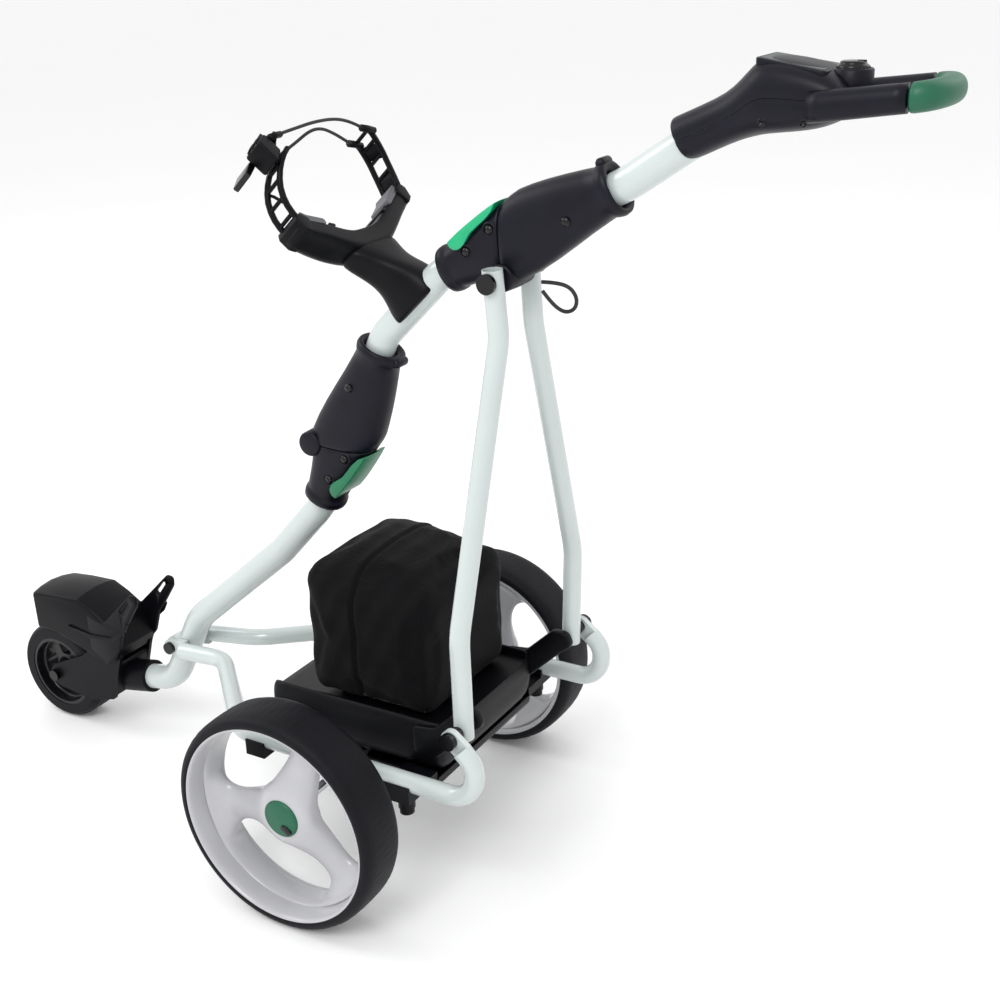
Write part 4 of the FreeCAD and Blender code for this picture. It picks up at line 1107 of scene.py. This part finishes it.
def bag():
    """Nylon bag: a rounded box with a domed lid, puffed by a short cloth simulation, then seamed."""
    low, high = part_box("battery_bag")
    x0, x1 = low[0] / MM + 2.5, high[0] / MM - 2.5
    y1 = high[1] / MM - 2.5
    z0, z1 = low[2] / MM + 1.0, high[2] / MM - 4.5
    rows = []
    for f in (0.0, 0.015, 0.05, 0.12, 0.25, 0.4, 0.55, 0.7, 0.83, 0.95, 0.985, 1.0):
        x = x0 + (x1 - x0) * f
        # the lid is highest towards the front and falls towards the rear
        crown = z1 - 25 * max(0.0, 0.55 - f) ** 1.2 * 1.4 - 26 * max(0.0, f - 0.78)
        pull = 7.0 * (1 - min(1.0, min(f, 1 - f) / 0.05))
        ring = []
        for _, c, s in turns(48):
            y = superellipse(c, 9.0) * (y1 - pull)
            z = superellipse(s, 9.0)
            middle, half = (z0 + crown) / 2, (crown - z0) / 2 - pull
            height = middle + z * half
            if z > 0.5:
                height += 7.0 * (1 - (y / y1) ** 2) - 4
            ring.append((x, y, height))
        rows.append(ring)
    cover = loft("piece_battery_bag", rows)
    remesh = cover.modifiers.new("remesh", "REMESH")
    remesh.mode = "VOXEL"
    remesh.voxel_size = BAG_VOXEL
    apply_modifiers(cover)
    start = [vertex.co.copy() for vertex in cover.data.vertices]
    scene = bpy.context.scene
    scene.frame_set(1)
    cloth = cover.modifiers.new("cloth", "CLOTH")
    cloth.settings.use_pressure = True
    cloth.settings.uniform_pressure_force = BAG_PRESSURE
    cloth.settings.effector_weights.gravity = 0.0
    cloth.settings.quality = 5
    cloth.point_cache.frame_start = 1
    cloth.point_cache.frame_end = BAG_FRAMES
    for number in range(1, BAG_FRAMES + 1):
        scene.frame_set(number)
    apply_modifiers(cover)
    scene.frame_set(1)
    for vertex, rest in zip(cover.data.vertices, start):
        step = vertex.co - rest
        if step.length > BAG_REACH:
            vertex.co = rest + step * (BAG_REACH / step.length)
    subdivide(cover, 1)
    seam_x = (x0 + (x1 - x0) * 0.56) * MM
    seam_z = (z1 - 16) * MM
    floor_z = (z0 + 3) * MM
    normals = [vertex.normal.copy() for vertex in cover.data.vertices]
    for vertex, normal in zip(cover.data.vertices, normals):
        if vertex.co.z < floor_z:
            continue
        away = abs(vertex.co.x - seam_x)
        dent = 0.0030 * max(0.0, 1 - away / 0.005)
        if vertex.co.x > seam_x:
            dent -= 0.0016 * min(1.0, away / 0.004)
        rim = abs(vertex.co.z - seam_z)
        if abs(normal.z) < 0.7:
            dent += 0.0012 * max(0.0, 1 - rim / 0.004)
        wrinkle = 0.0011 * math.sin(vertex.co.z * 95 + vertex.co.x * 60) * math.sin(vertex.co.x * 120 + 1.7)
        vertex.co -= normal * (dent + wrinkle)
    finish_piece(cover, "battery", FABRIC)
    return x0, z1


bag_rear, bag_top = bag()


def bag_trim():
    """Short pull tab on the lid, set where the lid shows a bright strip; its webbing is lighter than the
    bag fabric as a painted highlight.
    """
    start, end = bag_rear + 62, bag_rear + 90
    outline = rounded([(start, -58, 3), (end, -58, 3), (end, -38, 3), (start, -38, 3)], 4)
    tab = slab("piece_bag_tab", outline,
               lambda a, b, h: (a, b, bag_top + 1.5 + h - max(0.0, bag_rear + 110 - a) * 0.05), -2.0, 1.2,
               0.8, 2)
    finish_piece(tab, "battery", WEBBING_PAINTED_HIGHLIGHT)


bag_trim()


# ------------------------------------------------------------------ stage, light and camera

FLOOR_REACH = 60
LENS = 52.37
SENSOR = 36.0
EYE = (-1.04326, 1.44006, 1.18793)


def stage():
    floor_mesh = bpy.data.meshes.new("floor")
    reach = FLOOR_REACH
    corners = [(-reach, -reach, 0), (reach, -reach, 0), (reach, reach, 0), (-reach, reach, 0)]
    floor_mesh.from_pydata(corners, [], [(0, 1, 2, 3)])
    floor = bpy.data.objects.new("floor", floor_mesh)
    bpy.context.scene.collection.objects.link(floor)
    paint(floor, FLOOR)
    world = bpy.data.worlds.new("sky")
    bpy.context.scene.world = world
    world.use_nodes = True
    world.node_tree.nodes["Background"].inputs["Color"].default_value = (1.0, 1.0, 1.0, 1.0)
    world.node_tree.nodes["Background"].inputs["Strength"].default_value = 1.0
    lamps = {
        "key": ((-0.6, 3.0, 3.4), 1.6, 70.0),
        "front": ((3.0, 0.8, 2.6), 1.8, 36.0),
        "back": ((-1.8, -2.6, 2.8), 2.2, 16.0),
    }
    for name, (spot, size, power) in lamps.items():
        light = bpy.data.lights.new(name, "AREA")
        light.shape = "SQUARE"
        light.size = size
        light.energy = power
        lamp = bpy.data.objects.new(name, light)
        lamp.location = spot
        aim = Vector((0, 0, 0.45)) - Vector(spot)
        lamp.rotation_euler = aim.to_track_quat("-Z", "Y").to_euler()
        bpy.context.scene.collection.objects.link(lamp)


def camera():
    lens = bpy.data.cameras.new("camera")
    lens.lens = LENS
    lens.sensor_width = SENSOR
    eye = bpy.data.objects.new("camera", lens)
    right = Vector((-0.86432, -0.50211, -0.02888))
    up = Vector((0.16476, -0.33694, 0.92699))
    back = Vector((-0.47518, 0.79646, 0.37395))
    turn = Matrix((right, up, back)).transposed()
    eye.matrix_world = Matrix.Translation(Vector(EYE)) @ turn.to_4x4()
    bpy.context.scene.collection.objects.link(eye)
    bpy.context.scene.camera = eye


soften(2.5, "housing_floor")
soften(2.0, "front_bracket")
soften(1.0, "tube_clamps", "clamp_plugs")
stage()
camera()
bpy.context.scene.view_settings.view_transform = "Standard"
